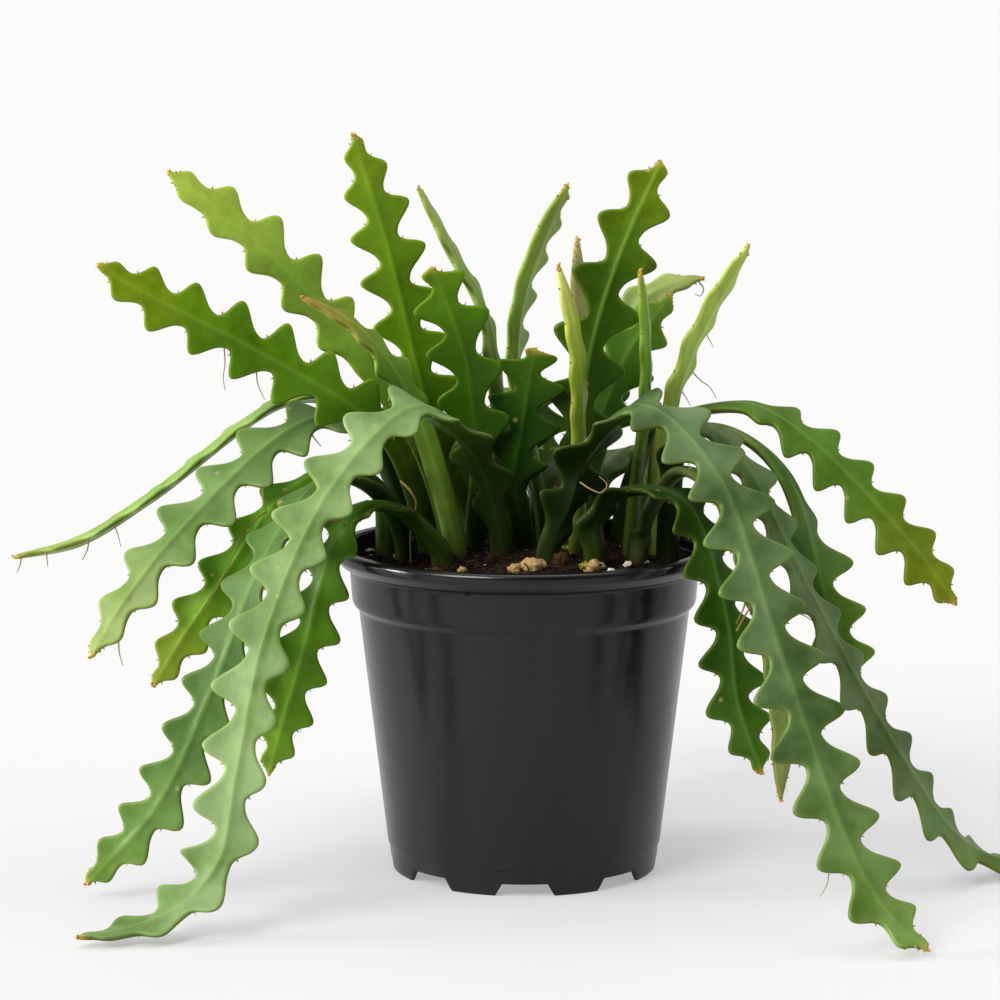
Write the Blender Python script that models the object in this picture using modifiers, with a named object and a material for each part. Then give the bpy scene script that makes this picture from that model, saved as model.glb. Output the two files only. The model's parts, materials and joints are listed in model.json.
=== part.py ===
"""Potted fishbone cactus.

A charcoal nursery pot holds potting mix, and flat, saw-lobed stems grow out of it. Some stand up
and the long ones arch over the rim, hang down and lie along the surface that the pot stands on.
Units are metres with +Z up; the origin is on the pot's axis, at the surface it stands on.
"""

import math
from dataclasses import dataclass

import bmesh
import bpy
import numpy as np
from mathutils import Matrix

MM = 0.001

# Pot: a six inch nursery pot, sizes in mm
POT_HEIGHT = 128.5
RIM_RADIUS = 75.0
BASE_RADIUS = 52.5
FOOT_WIDTH = 1.6
FLOOR_UNDERSIDE = 4.5
FLOOR_TOP = 6.0
FLOOR_RADIUS = 52.0
POT_STEPS = 40
NOTCH_COUNT = 8
NOTCH_BOTTOM_WIDTH = 24.0
NOTCH_TOP_WIDTH = 17.5
NOTCH_HEIGHT = 4.9
NOTCH_NEAR = 46.0
NOTCH_FAR = 60.0
DRAIN_HOLE_RADIUS = 3.5
DRAIN_HOLE_SIDES = 8
DRAIN_RING_RADIUS = 40.0
CUT_MARGIN = 2.0

# Radius and height where the pot's inner wall steps out
WALL_LEDGES = ((63.4, 102.8), (66.0, 106.6))

# Potting mix, sizes in mm
SOIL_EDGE_HEIGHT = 121.3
SOIL_EDGE_RADIUS = 67.0
SOIL_CROWN = 2.6
SOIL_LEFT_RISE = 0.010
SOIL_RELIEF = 0.5
SOIL_RINGS = 6
SOIL_GAP = 0.3
GRAIN_COUNT = 30
GRAIN_SPREAD = 61.0
GRAIN_SIZES = (1.5, 3.2)
GRAIN_CLEARANCE = 1.0
GRAIN_SEED = 11

# Stems, sizes in mm
ROOT_DEPTH = 108.0
ROOT_TOP = 128.0
STALK_HALF_WIDTH = 4.5
STALK_HALF_THICK = 3.4
RIB_HALF_THICK = 2.4
NOTCH_HALF_WIDTH = 4.6
TIP_HALF_THICK = 1.0
HOLE_RADIUS = 5.1
HOLE_DEPTH = 107.4
HOLE_SIDES = 8
BURIED = 16.0
STALK_STATION_STEP = 12.0
STALK_THINNING = 40.0
LOBE_LEAN = 0.26
LOBE_RISE = 0.40
LOBE_RISE_POWER = 1.8
LOBE_CREST = 0.36
LOBE_FALL = 0.34
LOBE_FALL_POWER = 3.5
LOBE_VARIATION = 0.12
LOBE_PHASES = (0.0, 0.10, 0.23, 0.38, 0.50, 0.60, 0.70, 0.84)
LOBE_SPACE = 1.5
TIP_CROWDING = 9.0
TIP_ROUNDING = 12.0
TIP_THINNING = 25.0
LAST_RIB_POINT = 4.0
RIB_POINTS_PER_LOBE = 1.18
FADE_LENGTH = 26.0
ROUTE_STEP = 1.5

# Directions that a stem's upper face can point to
FRONT = (0.0, -1.0, 0.15)
BACK = (0.0, 1.0, 0.15)
UP = (0.0, 0.1, 1.0)
FRONT_UP = (0.0, -0.7, 0.7)


@dataclass(frozen=True)
class Stem:
    """One leafy stem: where it roots, the points its rib passes, and how its face turns."""

    name: str
    root: tuple
    route: tuple
    faces: tuple = (FRONT,)
    half_width: float = 15.5
    pitch: float = 18.0
    stalk: float = 30.0
    taper: float = 17.0
    shift: float = 0.0
    stagger: float = 0.5
    sides: tuple = (1.0, 1.0)


@dataclass(frozen=True)
class Finish:
    """Colour, roughness and metallic value of one material."""

    name: str
    colour: tuple
    roughness: float
    metallic: float = 0.0


POT_FINISH = Finish("charcoal_plastic", (0.030, 0.031, 0.033), 0.42)
SOIL_FINISH = Finish("potting_mix", (0.045, 0.028, 0.018), 0.95)
STEM_FINISH = Finish("cactus_stem", (0.130, 0.260, 0.040), 0.45)
YOUNG_FINISH = Finish("young_cactus_stem", (0.330, 0.430, 0.060), 0.45)
DRIED_FINISH = Finish("dried_cactus_stem", (0.270, 0.230, 0.090), 0.65)

# Stems that stand up, from left to right
UPRIGHT_STEMS = (
    Stem(
        "stem_left_broad",
        (-38, 6),
        (
            (-43, 1, 150), (-51, -8, 170), (-62, -18, 182), (-104, -24, 208),
            (-145, -30, 230), (-162, -33, 241),
        ),
        half_width=16.0,
        pitch=19.0,
        stalk=50.0,
        shift=0.3,
    ),
    Stem(
        "stem_left_leaning",
        (-32, 30),
        ((-40, 28, 154), (-51, 24, 178), (-67, 16, 202), (-99, 0, 242), (-137, -14, 275)),
        ((0.7, 0.1, 0.5), (0.7, 0, 0.5), (0.3, -0.9, 0.3), FRONT, FRONT),
        half_width=14.5,
        pitch=22.0,
        stalk=75.0,
        shift=0.58,
        stagger=0.2,
        sides=(0.8, 1.06),
    ),
    Stem(
        "stem_left_young",
        (-27, -3),
        ((-34, 3, 155), (-42, 6, 179), (-52, 0, 197), (-66, -8, 214), (-86, -17, 227)),
        (FRONT, FRONT, FRONT, (0.4, -0.4, 0.7), (0.5, -0.1, 0.8)),
        half_width=11.0,
        pitch=16.0,
        stalk=50.0,
    ),
    Stem(
        "stem_tall_left",
        (-20, 42),
        ((-33, 39, 160), (-42, 34, 193), (-53, 26, 241), (-67, 18, 288)),
        half_width=16.0,
        pitch=19.0,
        taper=16.0,
        shift=0.6,
    ),
    Stem(
        "stem_slim_left",
        (-8, 32),
        ((-9, 31, 165), (-17, 28, 218), (-29, 26, 241), (-42, 24, 267)),
        ((0.5, -0.8, 0.3), (0.6, -0.7, 0.3), (0.9, -0.2, 0.45), (0.9, -0.2, 0.45)),
        half_width=11.0,
        pitch=17.0,
        stalk=60.0,
        shift=0.55,
    ),
    Stem(
        "stem_slim_middle",
        (8, 40),
        ((3, 45, 160), (-4, 47, 192), (-1, 48, 222), (8, 48, 247), (18, 48, 267)),
        ((0.95, -0.1, 0), (0.85, -0.4, -0.1), (0.75, -0.65, -0.2)),
        half_width=11.0,
        pitch=17.0,
        shift=0.3,
        sides=(0.6, 1.4),
    ),
    Stem(
        "stem_middle_dark",
        (-20, 16),
        ((-17, 14, 156), (-20, 11, 180), (-24, 8, 204), (-36, 2, 237)),
        pitch=21.0,
        stalk=22.0,
        taper=5.0,
        shift=0.2,
    ),
    Stem(
        "stem_middle_blunt",
        (0, 18),
        ((-4, 18, 151), (-1, 17, 171), (4, 15, 204)),
        half_width=17.5,
        pitch=17.0,
        stalk=14.0,
        taper=4.0,
        shift=0.4,
    ),
    Stem(
        "stem_yellow_young",
        (21, 2),
        ((21, 2, 153), (21, 3, 177), (20, 4, 204), (13, 6, 238)),
        ((0.9, -0.5, 0.1),),
        half_width=8.0,
        pitch=16.0,
        stalk=40.0,
    ),
    Stem(
        "stem_pale_slim",
        (12, 30),
        ((17, 32, 150), (22, 33, 170), (22.5, 33, 200), (21, 33, 247)),
        ((0.8, -0.6, 0),),
        half_width=4.5,
        pitch=16.0,
        stalk=60.0,
    ),
    Stem(
        "stem_tall_right",
        (18, 20),
        ((20, 20, 155), (23, 20, 183), (28, 22, 210), (37, 25, 238), (54, 30, 277)),
        half_width=17.0,
        pitch=23.0,
        taper=12.0,
        shift=0.6,
    ),
    Stem(
        "stem_slim_right",
        (42, 4),
        ((44, 5, 153), (47, 6, 180), (47, 7, 212), (45, 8, 236)),
        ((0.95, -0.3, 0),),
        half_width=9.0,
        pitch=17.0,
        stalk=45.0,
    ),
    Stem(
        "stem_right_leaning",
        (52, 12),
        ((52, 12, 159), (58, 12, 184), (65, 12, 204), (74, 12, 222), (88, 12, 245)),
        ((0.88, -0.4, -0.2), (0.75, -0.6, -0.3)),
        half_width=10.0,
        pitch=19.0,
        stalk=45.0,
        shift=0.5,
    ),
    Stem(
        "stem_back_broad",
        (26, 36),
        ((28, 44, 159), (34, 48, 179), (43, 50, 199), (60, 54, 222)),
        half_width=18.0,
        pitch=19.0,
        shift=0.4,
    ),
    Stem(
        "stem_back_pale",
        (14, 52),
        ((31, 60, 166), (37, 62, 194), (47, 64, 216), (60, 66, 224), (74, 68, 227)),
        (FRONT, FRONT, FRONT_UP),
        half_width=11.0,
        pitch=16.0,
        stalk=40.0,
    ),
    Stem(
        "stem_back_low",
        (-38, 44),
        ((-45, 51, 152), (-51, 60, 176), (-54, 66, 194)),
        ((-0.5, 0.9, 0.1),),
        half_width=14.0,
        stalk=16.0,
        taper=10.0,
    ),
)

# Stems that arch over the rim, on the right, on the left and at the back
RIGHT_STEMS = (
    Stem(
        "stem_right_arch_front",
        (9, -13),
        (
            (17, -12, 147), (23, -14, 165), (44, -28, 185), (71, -54, 164),
            (94, -94, 100), (117, -120, 36), (130, -130, 14), (144, -139, 3),
        ),
        (
            BACK, (0, 0.3, 1), (0.3, -0.8, 0.5), (0.2, -1, 0.3), (0.2, -1, 0.3),
            (0.2, -1, 0.4), (0.1, -0.7, 0.8),
        ),
        half_width=17.5,
        pitch=21.0,
        stalk=4.0,
        shift=0.16,
    ),
    Stem(
        "stem_right_arch_second",
        (56, -4),
        (
            (57, -5, 150), (59, -8, 168), (66, -13, 177), (81, -23, 166),
            (107, -42, 117), (135, -45, 66), (165, -35, 20), (183, -24, 7),
            (200, -8, 4),
        ),
        (
            BACK, UP, (0.5, -0.5, 0.7), (0.7, -0.5, 0.5), (0.65, -0.6, 0.45),
            (0.6, -0.5, 0.6), UP,
        ),
        half_width=16.0,
        pitch=20.0,
        shift=0.3,
    ),
    Stem(
        "stem_right_arch_third",
        (46, 30),
        (
            (55, 27, 152), (66, 19, 169), (82, 7, 171), (101, -5, 156),
            (118, -20, 104), (129, -25, 78),
        ),
        (BACK, (0, 0.3, 1), (0.6, 0.2, 0.8), (0.7, -0.6, 0.3), (0.3, -1, 0), (0.2, -1, 0)),
        half_width=17.0,
        pitch=21.0,
        stalk=110.0,
        taper=8.0,
        shift=0.6,
    ),
    Stem(
        "stem_right_arch_high",
        (40, 44),
        (
            (47, 42, 156), (56, 34, 171), (87, 18, 180), (106, 10, 172),
            (147, -2, 133), (169, -8, 105),
        ),
        (BACK, (0, 0.4, 1), (0.1, -0.1, 1), (0.4, -0.8, 0.5), (0.3, -1, 0.3), (0.3, -1, 0.3)),
        half_width=13.5,
        stalk=85.0,
        taper=12.0,
        shift=0.25,
        sides=(1.0, 1.2),
    ),
    Stem(
        "stem_right_hanging",
        (27, -24),
        (
            (26, -24, 140), (33, -26, 150), (46, -30, 154), (61, -36, 149),
            (76, -50, 107), (80, -52, 77), (90, -54, 48),
        ),
        ((-0.3, 0.9, 0.3), (-0.2, 0.3, 1), (0.3, -0.6, 0.8), (0.2, -1, 0.1), (0.1, -1, 0.1)),
        half_width=15.0,
        stalk=4.0,
        taper=12.0,
        shift=0.7,
    ),
    Stem(
        "stem_right_dried",
        (44, -12),
        (
            (50, -12, 146), (59, -18, 159), (69, -33, 158), (78, -49, 147),
            (88, -62, 115), (96, -68, 78), (96, -68, 41),
        ),
        ((0.2, 0.3, 1), (0.4, -0.6, 0.7), (0.5, -0.9, 0.1)),
        half_width=7.0,
        pitch=15.0,
        stalk=60.0,
    ),
)

LEFT_STEMS = (
    Stem(
        "stem_left_arch_front",
        (-9, 2),
        (
            (-12, 1, 146), (-19, -6, 166), (-42, -32, 185), (-71, -56, 160),
            (-95, -84, 110), (-106, -102, 57), (-112, -108, 28), (-128, -112, 10),
            (-148, -118, 4), (-163, -124, 4),
        ),
        (BACK, (0, 0.2, 1), (-0.2, -0.9, 0.4), (-0.2, -0.9, 0.4), (-0.2, -1, 0.2), FRONT_UP, UP),
        half_width=16.5,
        pitch=22.0,
        stalk=6.0,
        shift=0.6,
        sides=(0.78, 1.0),
    ),
    Stem(
        "stem_left_arch_silver",
        (-42, 20),
        (
            (-52, 14, 152), (-61, 7, 170), (-74, -4, 178), (-91, -13, 174),
            (-130, -42, 140), (-149, -53, 117), (-164, -60, 94),
        ),
        (BACK, (0, 0.2, 1), (-0.2, -0.8, 0.6), (-0.3, -0.8, 0.6), (-0.3, -0.8, 0.5)),
        half_width=16.5,
        pitch=22.0,
        stalk=40.0,
        taper=20.0,
        shift=0.5,
    ),
    Stem(
        "stem_left_arch_flat",
        (-46, 34),
        (
            (-53, 31, 153), (-61, 27, 172), (-77, 22, 182.5), (-96, 14, 182),
            (-146, -3, 147), (-173, -10, 131), (-199, -14, 125),
        ),
        (BACK, UP, UP, UP),
        half_width=13.0,
        pitch=19.0,
        stalk=50.0,
    ),
    Stem(
        "stem_left_arch_low",
        (-54, 6),
        (
            (-55, 4, 145), (-62, 0, 155), (-75, -8, 157), (-92, -22, 150),
            (-123, -40, 109), (-142, -44, 80),
        ),
        (BACK, (0, 0.2, 1), (-0.3, -0.7, 0.6), (-0.2, -1, 0.2), (-0.2, -1, 0.2)),
        half_width=13.5,
        pitch=19.0,
        stalk=50.0,
        taper=12.0,
        shift=0.65,
    ),
    Stem(
        "stem_left_trailing",
        (-46, -8),
        (
            (-50, -12, 142), (-60, -19, 154), (-75, -31, 158), (-96, -50, 134),
            (-117, -64, 83), (-140, -62, 36), (-168, -54, 5),
        ),
        (BACK, (0, 0.2, 1), (-0.3, -0.7, 0.6), (-0.2, -1, 0.3), (-0.2, -1, 0.3)),
        half_width=15.0,
        pitch=20.0,
        stalk=52.0,
        shift=0.6,
    ),
    Stem(
        "stem_left_hanging",
        (-32, -24),
        (
            (-41, -25, 140), (-52, -28, 147), (-63, -32, 147), (-71, -38, 136),
            (-83, -45, 97), (-98, -50, 47),
        ),
        (BACK, (0, 0.2, 1), (-0.4, -0.6, 0.6), (-0.1, -1, 0.1), (-0.1, -1, 0.1)),
        half_width=14.0,
        pitch=17.0,
        stalk=12.0,
        taper=12.0,
        shift=0.35,
    ),
)

BACK_STEMS = (
    Stem(
        "stem_back_left_trailing",
        (-20, 54),
        (
            (-21, 62, 154), (-28, 83, 168), (-36, 104, 140), (-40, 116, 90),
            (-42, 122, 40), (-43, 128, 12), (-44, 139, 4),
        ),
        (FRONT, (0, 0.2, 1), (-0.2, 1, 0.3), (0, 1, 0.2), (0, 1, 0.4)),
        pitch=20.0,
        stalk=14.0,
        shift=0.2,
    ),
    Stem(
        "stem_back_arch",
        (-4, 50),
        ((-3, 58, 160), (2, 80, 180), (8, 104, 160), (12, 120, 118), (15, 126, 80)),
        (FRONT, UP, (0.2, 1, 0.5), (0, 1, 0.2)),
        half_width=15.0,
        pitch=19.0,
        stalk=14.0,
        shift=0.7,
    ),
    Stem(
        "stem_back_right_trailing",
        (6, 57),
        ((10, 70, 148), (22, 92, 152), (32, 108, 120), (37, 114, 75), (40, 117, 36)),
        (FRONT, UP, (0.2, 1, 0.3), (0.1, 1, 0.1)),
        half_width=15.0,
        stalk=10.0,
    ),
    Stem(
        "stem_back_right_hanging",
        (26, 52),
        ((34, 66, 148), (48, 82, 154), (58, 94, 128), (62, 100, 92), (62, 102, 66)),
        (FRONT, UP, (0.6, 1, 0.3), (0.5, 1, 0.1)),
        half_width=13.0,
        stalk=12.0,
    ),
)

STEMS = UPRIGHT_STEMS + RIGHT_STEMS + LEFT_STEMS + BACK_STEMS
YOUNG_STEMS = ("stem_yellow_young", "stem_left_young", "stem_right_leaning")
DRIED_STEMS = ("stem_right_dried",)


def clear_scene():
    """Remove every object of the open scene."""
    for thing in list(bpy.data.objects):
        bpy.data.objects.remove(thing)


def new_collection(name):
    """Make a collection linked to the scene."""
    group = bpy.data.collections.new(name)
    bpy.context.scene.collection.children.link(group)
    return group


def make_material(finish):
    """Make a Principled material from a finish."""
    material = bpy.data.materials.new(finish.name)
    material.use_nodes = True
    shader = material.node_tree.nodes["Principled BSDF"]
    shader.inputs["Base Color"].default_value = (*finish.colour, 1.0)
    shader.inputs["Roughness"].default_value = finish.roughness
    shader.inputs["Metallic"].default_value = finish.metallic
    return material


def add_object(name, mesh, group, material=None):
    """Link a mesh into a collection as an object."""
    thing = bpy.data.objects.new(name, mesh)
    group.objects.link(thing)
    if material is not None:
        mesh.materials.append(material)
    return thing


def mesh_from_bmesh(name, shape):
    """Turn a bmesh, in mm, into a mesh in metres."""
    bmesh.ops.scale(shape, vec=(MM, MM, MM), verts=shape.verts)
    mesh = bpy.data.meshes.new(name)
    shape.to_mesh(mesh)
    shape.free()
    return mesh


def turned_object(name, profile, steps, group, material=None):
    """Turn a profile of (radius, height) points in mm about Z with a Screw modifier."""
    shape = bmesh.new()
    points = [shape.verts.new((radius, 0.0, height)) for radius, height in profile]
    for start, end in zip(points, points[1:]):
        shape.edges.new((start, end))
    thing = add_object(name, mesh_from_bmesh(name, shape), group, material)
    screw = thing.modifiers.new("turn", "SCREW")
    screw.axis = "Z"
    screw.angle = math.tau
    screw.steps = steps
    screw.render_steps = steps
    screw.use_merge_vertices = True
    screw.merge_threshold = 0.00005
    return thing


def as_cutter(thing):
    """Show an object as a wire frame and keep it out of the model."""
    thing.hide_render = True
    thing.display_type = "WIRE"
    return thing


def apply_modifiers(thing):
    """Replace an object's mesh by its evaluated one, with no modifiers left."""
    bpy.context.view_layer.update()
    graph = bpy.context.evaluated_depsgraph_get()
    mesh = bpy.data.meshes.new_from_object(thing.evaluated_get(graph))
    mesh.name = thing.name
    thing.modifiers.clear()
    thing.data = mesh


def boolean_with(thing, group, operation, solver="EXACT"):
    """Cut or join a whole collection, apply it, and remove the collection's objects."""
    modifier = thing.modifiers.new(operation.lower(), "BOOLEAN")
    modifier.operation = operation
    modifier.solver = solver
    modifier.operand_type = "COLLECTION"
    modifier.collection = group
    apply_modifiers(thing)
    for helper in list(group.objects):
        bpy.data.objects.remove(helper)
    bpy.data.collections.remove(group)


def smooth_shade(mesh, angle=math.radians(35)):
    """Shade a mesh smooth, with its sharp edges kept."""
    mesh.shade_smooth()
    mesh.set_sharp_from_angle(angle=angle)


def pot_profile():
    """Radius and height points of the pot's wall, from its floor up, over the lip and down."""
    floor = ((0.0, FLOOR_TOP), (FLOOR_RADIUS, FLOOR_TOP))
    inner = (*WALL_LEDGES, (67.4, 119.2), (69.3, 122.0), (69.5, 127.6))
    lip_top = ((70.2, POT_HEIGHT), (74.0, POT_HEIGHT), (RIM_RADIUS, 127.4))
    lip_side = ((RIM_RADIUS, 124.6), (71.5, 120.9), (68.6, 119.8))
    collar = ((67.5, 107.3), (67.1, 105.9), (64.9, 103.6), (53.9, 10.4), (53.3, 10.0))
    foot = ((BASE_RADIUS, 1.2), (BASE_RADIUS - 0.5, 0.0), (BASE_RADIUS - 0.5 - FOOT_WIDTH, 0.0))
    underside = ((BASE_RADIUS - 2.4, FLOOR_UNDERSIDE), (0.0, FLOOR_UNDERSIDE))
    return floor + inner + lip_top + lip_side + collar + foot + underside


def notch_cutter(angle, group):
    """A trapezoid wedge that cuts one notch through the foot ring."""
    shape = bmesh.new()
    rows = []
    for half, height in ((NOTCH_BOTTOM_WIDTH / 2, -1.0), (NOTCH_TOP_WIDTH / 2, NOTCH_HEIGHT)):
        corners = ((-half, NOTCH_NEAR), (half, NOTCH_NEAR), (half, NOTCH_FAR), (-half, NOTCH_FAR))
        rows.append([shape.verts.new((x, y, height)) for x, y in corners])
    shape.faces.new(rows[0][::-1])
    shape.faces.new(rows[1])
    for here in range(4):
        after = (here + 1) % 4
        shape.faces.new((rows[0][here], rows[0][after], rows[1][after], rows[1][here]))
    turn_about_z(shape, angle)
    as_cutter(add_object("notch", mesh_from_bmesh("notch", shape), group))


def turn_about_z(shape, angle):
    """Turn a whole bmesh about Z."""
    bmesh.ops.rotate(shape, matrix=Matrix.Rotation(angle, 3, "Z"), verts=shape.verts)


def cylinder_cutter(place, radius, span, sides, group):
    """An upright cylinder to cut with; its span is the bottom and top height in mm."""
    shape = bmesh.new()
    depth = span[1] - span[0]
    bmesh.ops.create_cone(
        shape, cap_ends=True, segments=sides, radius1=radius, radius2=radius, depth=depth
    )
    bmesh.ops.translate(shape, vec=(*place, sum(span) / 2), verts=shape.verts)
    as_cutter(add_object("hole", mesh_from_bmesh("hole", shape), group))


def build_pot(group):
    """Turn the pot, then cut the notches in its foot ring and the drain holes in its floor."""
    pot = turned_object("pot", pot_profile(), POT_STEPS, group, make_material(POT_FINISH))
    cutters = new_collection("pot_cutters")
    for index in range(NOTCH_COUNT):
        angle = index * math.tau / NOTCH_COUNT
        notch_cutter(angle, cutters)
        middle = angle + math.pi / NOTCH_COUNT
        place = (DRAIN_RING_RADIUS * math.cos(middle), DRAIN_RING_RADIUS * math.sin(middle))
        span = (FLOOR_UNDERSIDE - CUT_MARGIN, FLOOR_TOP + CUT_MARGIN)
        cylinder_cutter(place, DRAIN_HOLE_RADIUS, span, DRAIN_HOLE_SIDES, cutters)
    boolean_with(pot, cutters, "DIFFERENCE")
    smooth_shade(pot.data)
    return pot


def soil_height(x, y):
    """Height of the potting mix in mm: a low crown with a little relief, highest at the left."""
    radius = math.hypot(x, y) / SOIL_EDGE_RADIUS
    crown = (SOIL_CROWN - SOIL_LEFT_RISE * x) * (1 - radius**2)
    fine = math.sin(x * 0.31 + 1.3) * math.cos(y * 0.27)
    coarse = 0.6 * math.sin(x * 0.13 - y * 0.19)
    return SOIL_EDGE_HEIGHT + crown + SOIL_RELIEF * (fine + coarse) * (1 - radius**4)


def soil_body(group):
    """The plug of potting mix that fills the pot, with its relief raised by formula."""
    spacing = SOIL_EDGE_RADIUS / SOIL_RINGS
    top = [(spacing * ring, SOIL_EDGE_HEIGHT) for ring in range(SOIL_RINGS + 1)]
    wall = [(radius - SOIL_GAP - 0.1, height) for radius, height in reversed(WALL_LEDGES)]
    bottom = [(FLOOR_RADIUS - SOIL_GAP - 0.1, FLOOR_TOP + SOIL_GAP), (0.0, FLOOR_TOP + SOIL_GAP)]
    profile = top + wall + bottom
    soil = turned_object("soil", profile, POT_STEPS, group, make_material(SOIL_FINISH))
    apply_modifiers(soil)
    for point in soil.data.vertices:
        x, y, z = (value / MM for value in point.co)
        if z > SOIL_EDGE_HEIGHT - SOIL_GAP and math.hypot(x, y) < SOIL_EDGE_RADIUS - SOIL_GAP:
            point.co.z = soil_height(x, y) * MM
    return soil


def grain_places():
    """Where the loose grains lie: a sunflower pattern, shaken a little, clear of stems and wall."""
    draw = np.random.default_rng(GRAIN_SEED)
    golden_angle = math.pi * (3 - math.sqrt(5))
    tries = 3 * GRAIN_COUNT
    places = []
    for index in range(tries):
        radius = GRAIN_SPREAD * math.sqrt((index + 0.5) / tries) + draw.uniform(-1.5, 1.5)
        angle = index * golden_angle + draw.uniform(-0.1, 0.1)
        size = draw.uniform(*GRAIN_SIZES)
        x, y = radius * math.cos(angle), radius * math.sin(angle)
        taken = [(*stem.root, HOLE_RADIUS) for stem in STEMS] + places
        gaps = (math.hypot(x - a, y - b) - size - other for a, b, other in taken)
        if min(gaps) > GRAIN_CLEARANCE:
            places.append((x, y, size))
    return places[:GRAIN_COUNT]


def build_soil(group):
    """Fuse the grains to the potting mix and bore a plain hole for each stem."""
    soil = soil_body(group)
    draw = np.random.default_rng(GRAIN_SEED + 1)
    grains = new_collection("soil_grains")
    for x, y, size in grain_places():
        shape = bmesh.new()
        bmesh.ops.create_icosphere(shape, subdivisions=1, radius=size)
        squash = (1.0, draw.uniform(0.7, 1.0), draw.uniform(0.55, 0.8))
        bmesh.ops.scale(shape, vec=squash, verts=shape.verts)
        turn_about_z(shape, draw.uniform(0, math.tau))
        bmesh.ops.translate(shape, vec=(x, y, soil_height(x, y) + 0.1 * size), verts=shape.verts)
        as_cutter(add_object("grain", mesh_from_bmesh("grain", shape), grains))
    boolean_with(soil, grains, "UNION")
    holes = new_collection("soil_holes")
    for stem in STEMS:
        span = (HOLE_DEPTH, POT_HEIGHT + CUT_MARGIN)
        cylinder_cutter(stem.root, HOLE_RADIUS, span, HOLE_SIDES, holes)
    boolean_with(soil, holes, "DIFFERENCE")
    smooth_shade(soil.data)
    return soil


def catmull_rom(points, step):
    """Points every step mm along a smooth curve through the given points."""
    points = np.array(points, float)
    before = 2 * points[0] - points[1]
    after = 2 * points[-1] - points[-2]
    chain = np.vstack([before, points, after])
    curve = []
    for index in range(1, len(chain) - 2):
        p0, p1, p2, p3 = chain[index - 1 : index + 3]
        spans = [math.sqrt(np.linalg.norm(end - start)) for start, end in ((p0, p1), (p1, p2), (p2, p3))]
        knots = np.cumsum([0.0] + spans)
        count = max(2, int(np.linalg.norm(p2 - p1) / step))
        for t in np.linspace(knots[1], knots[2], count, endpoint=False):
            a1 = mix(p0, p1, knots[0], knots[1], t)
            a2 = mix(p1, p2, knots[1], knots[2], t)
            a3 = mix(p2, p3, knots[2], knots[3], t)
            b1 = mix(a1, a2, knots[0], knots[2], t)
            b2 = mix(a2, a3, knots[1], knots[3], t)
            curve.append(mix(b1, b2, knots[1], knots[2], t))
    curve.append(points[-1])
    return np.array(curve)


def mix(start, end, low, high, value):
    """Point between start and end, at value between low and high."""
    share = (value - low) / (high - low)
    return start * (1 - share) + end * share


def unit(vector):
    """The vector at length one."""
    return vector / np.linalg.norm(vector)


def along_table(s, distances, rows):
    """The row of vectors that belongs to distance s, blended from its neighbours."""
    return np.array([np.interp(s, distances, rows[:, axis]) for axis in range(3)])


def between_none_and_all(value):
    """The value kept between 0 and 1."""
    return min(max(value, 0.0), 1.0)


def lobe_outline(share):
    """How far a lobe stands out at a share of its pitch, from the notch on its tip side.

    It rises steeply to a rounded crest and falls in a hollow curve to the next notch.
    """
    rise = 1 - (1 - between_none_and_all(share / LOBE_RISE)) ** LOBE_RISE_POWER
    past = max(share - LOBE_CREST, 0.0) / (1 - LOBE_CREST)
    fall = 1 / (1 + (past / LOBE_FALL) ** LOBE_FALL_POWER)
    end = 1 / (1 + (1 / LOBE_FALL) ** LOBE_FALL_POWER)
    return rise * (fall - end) / (1 - end)


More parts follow.
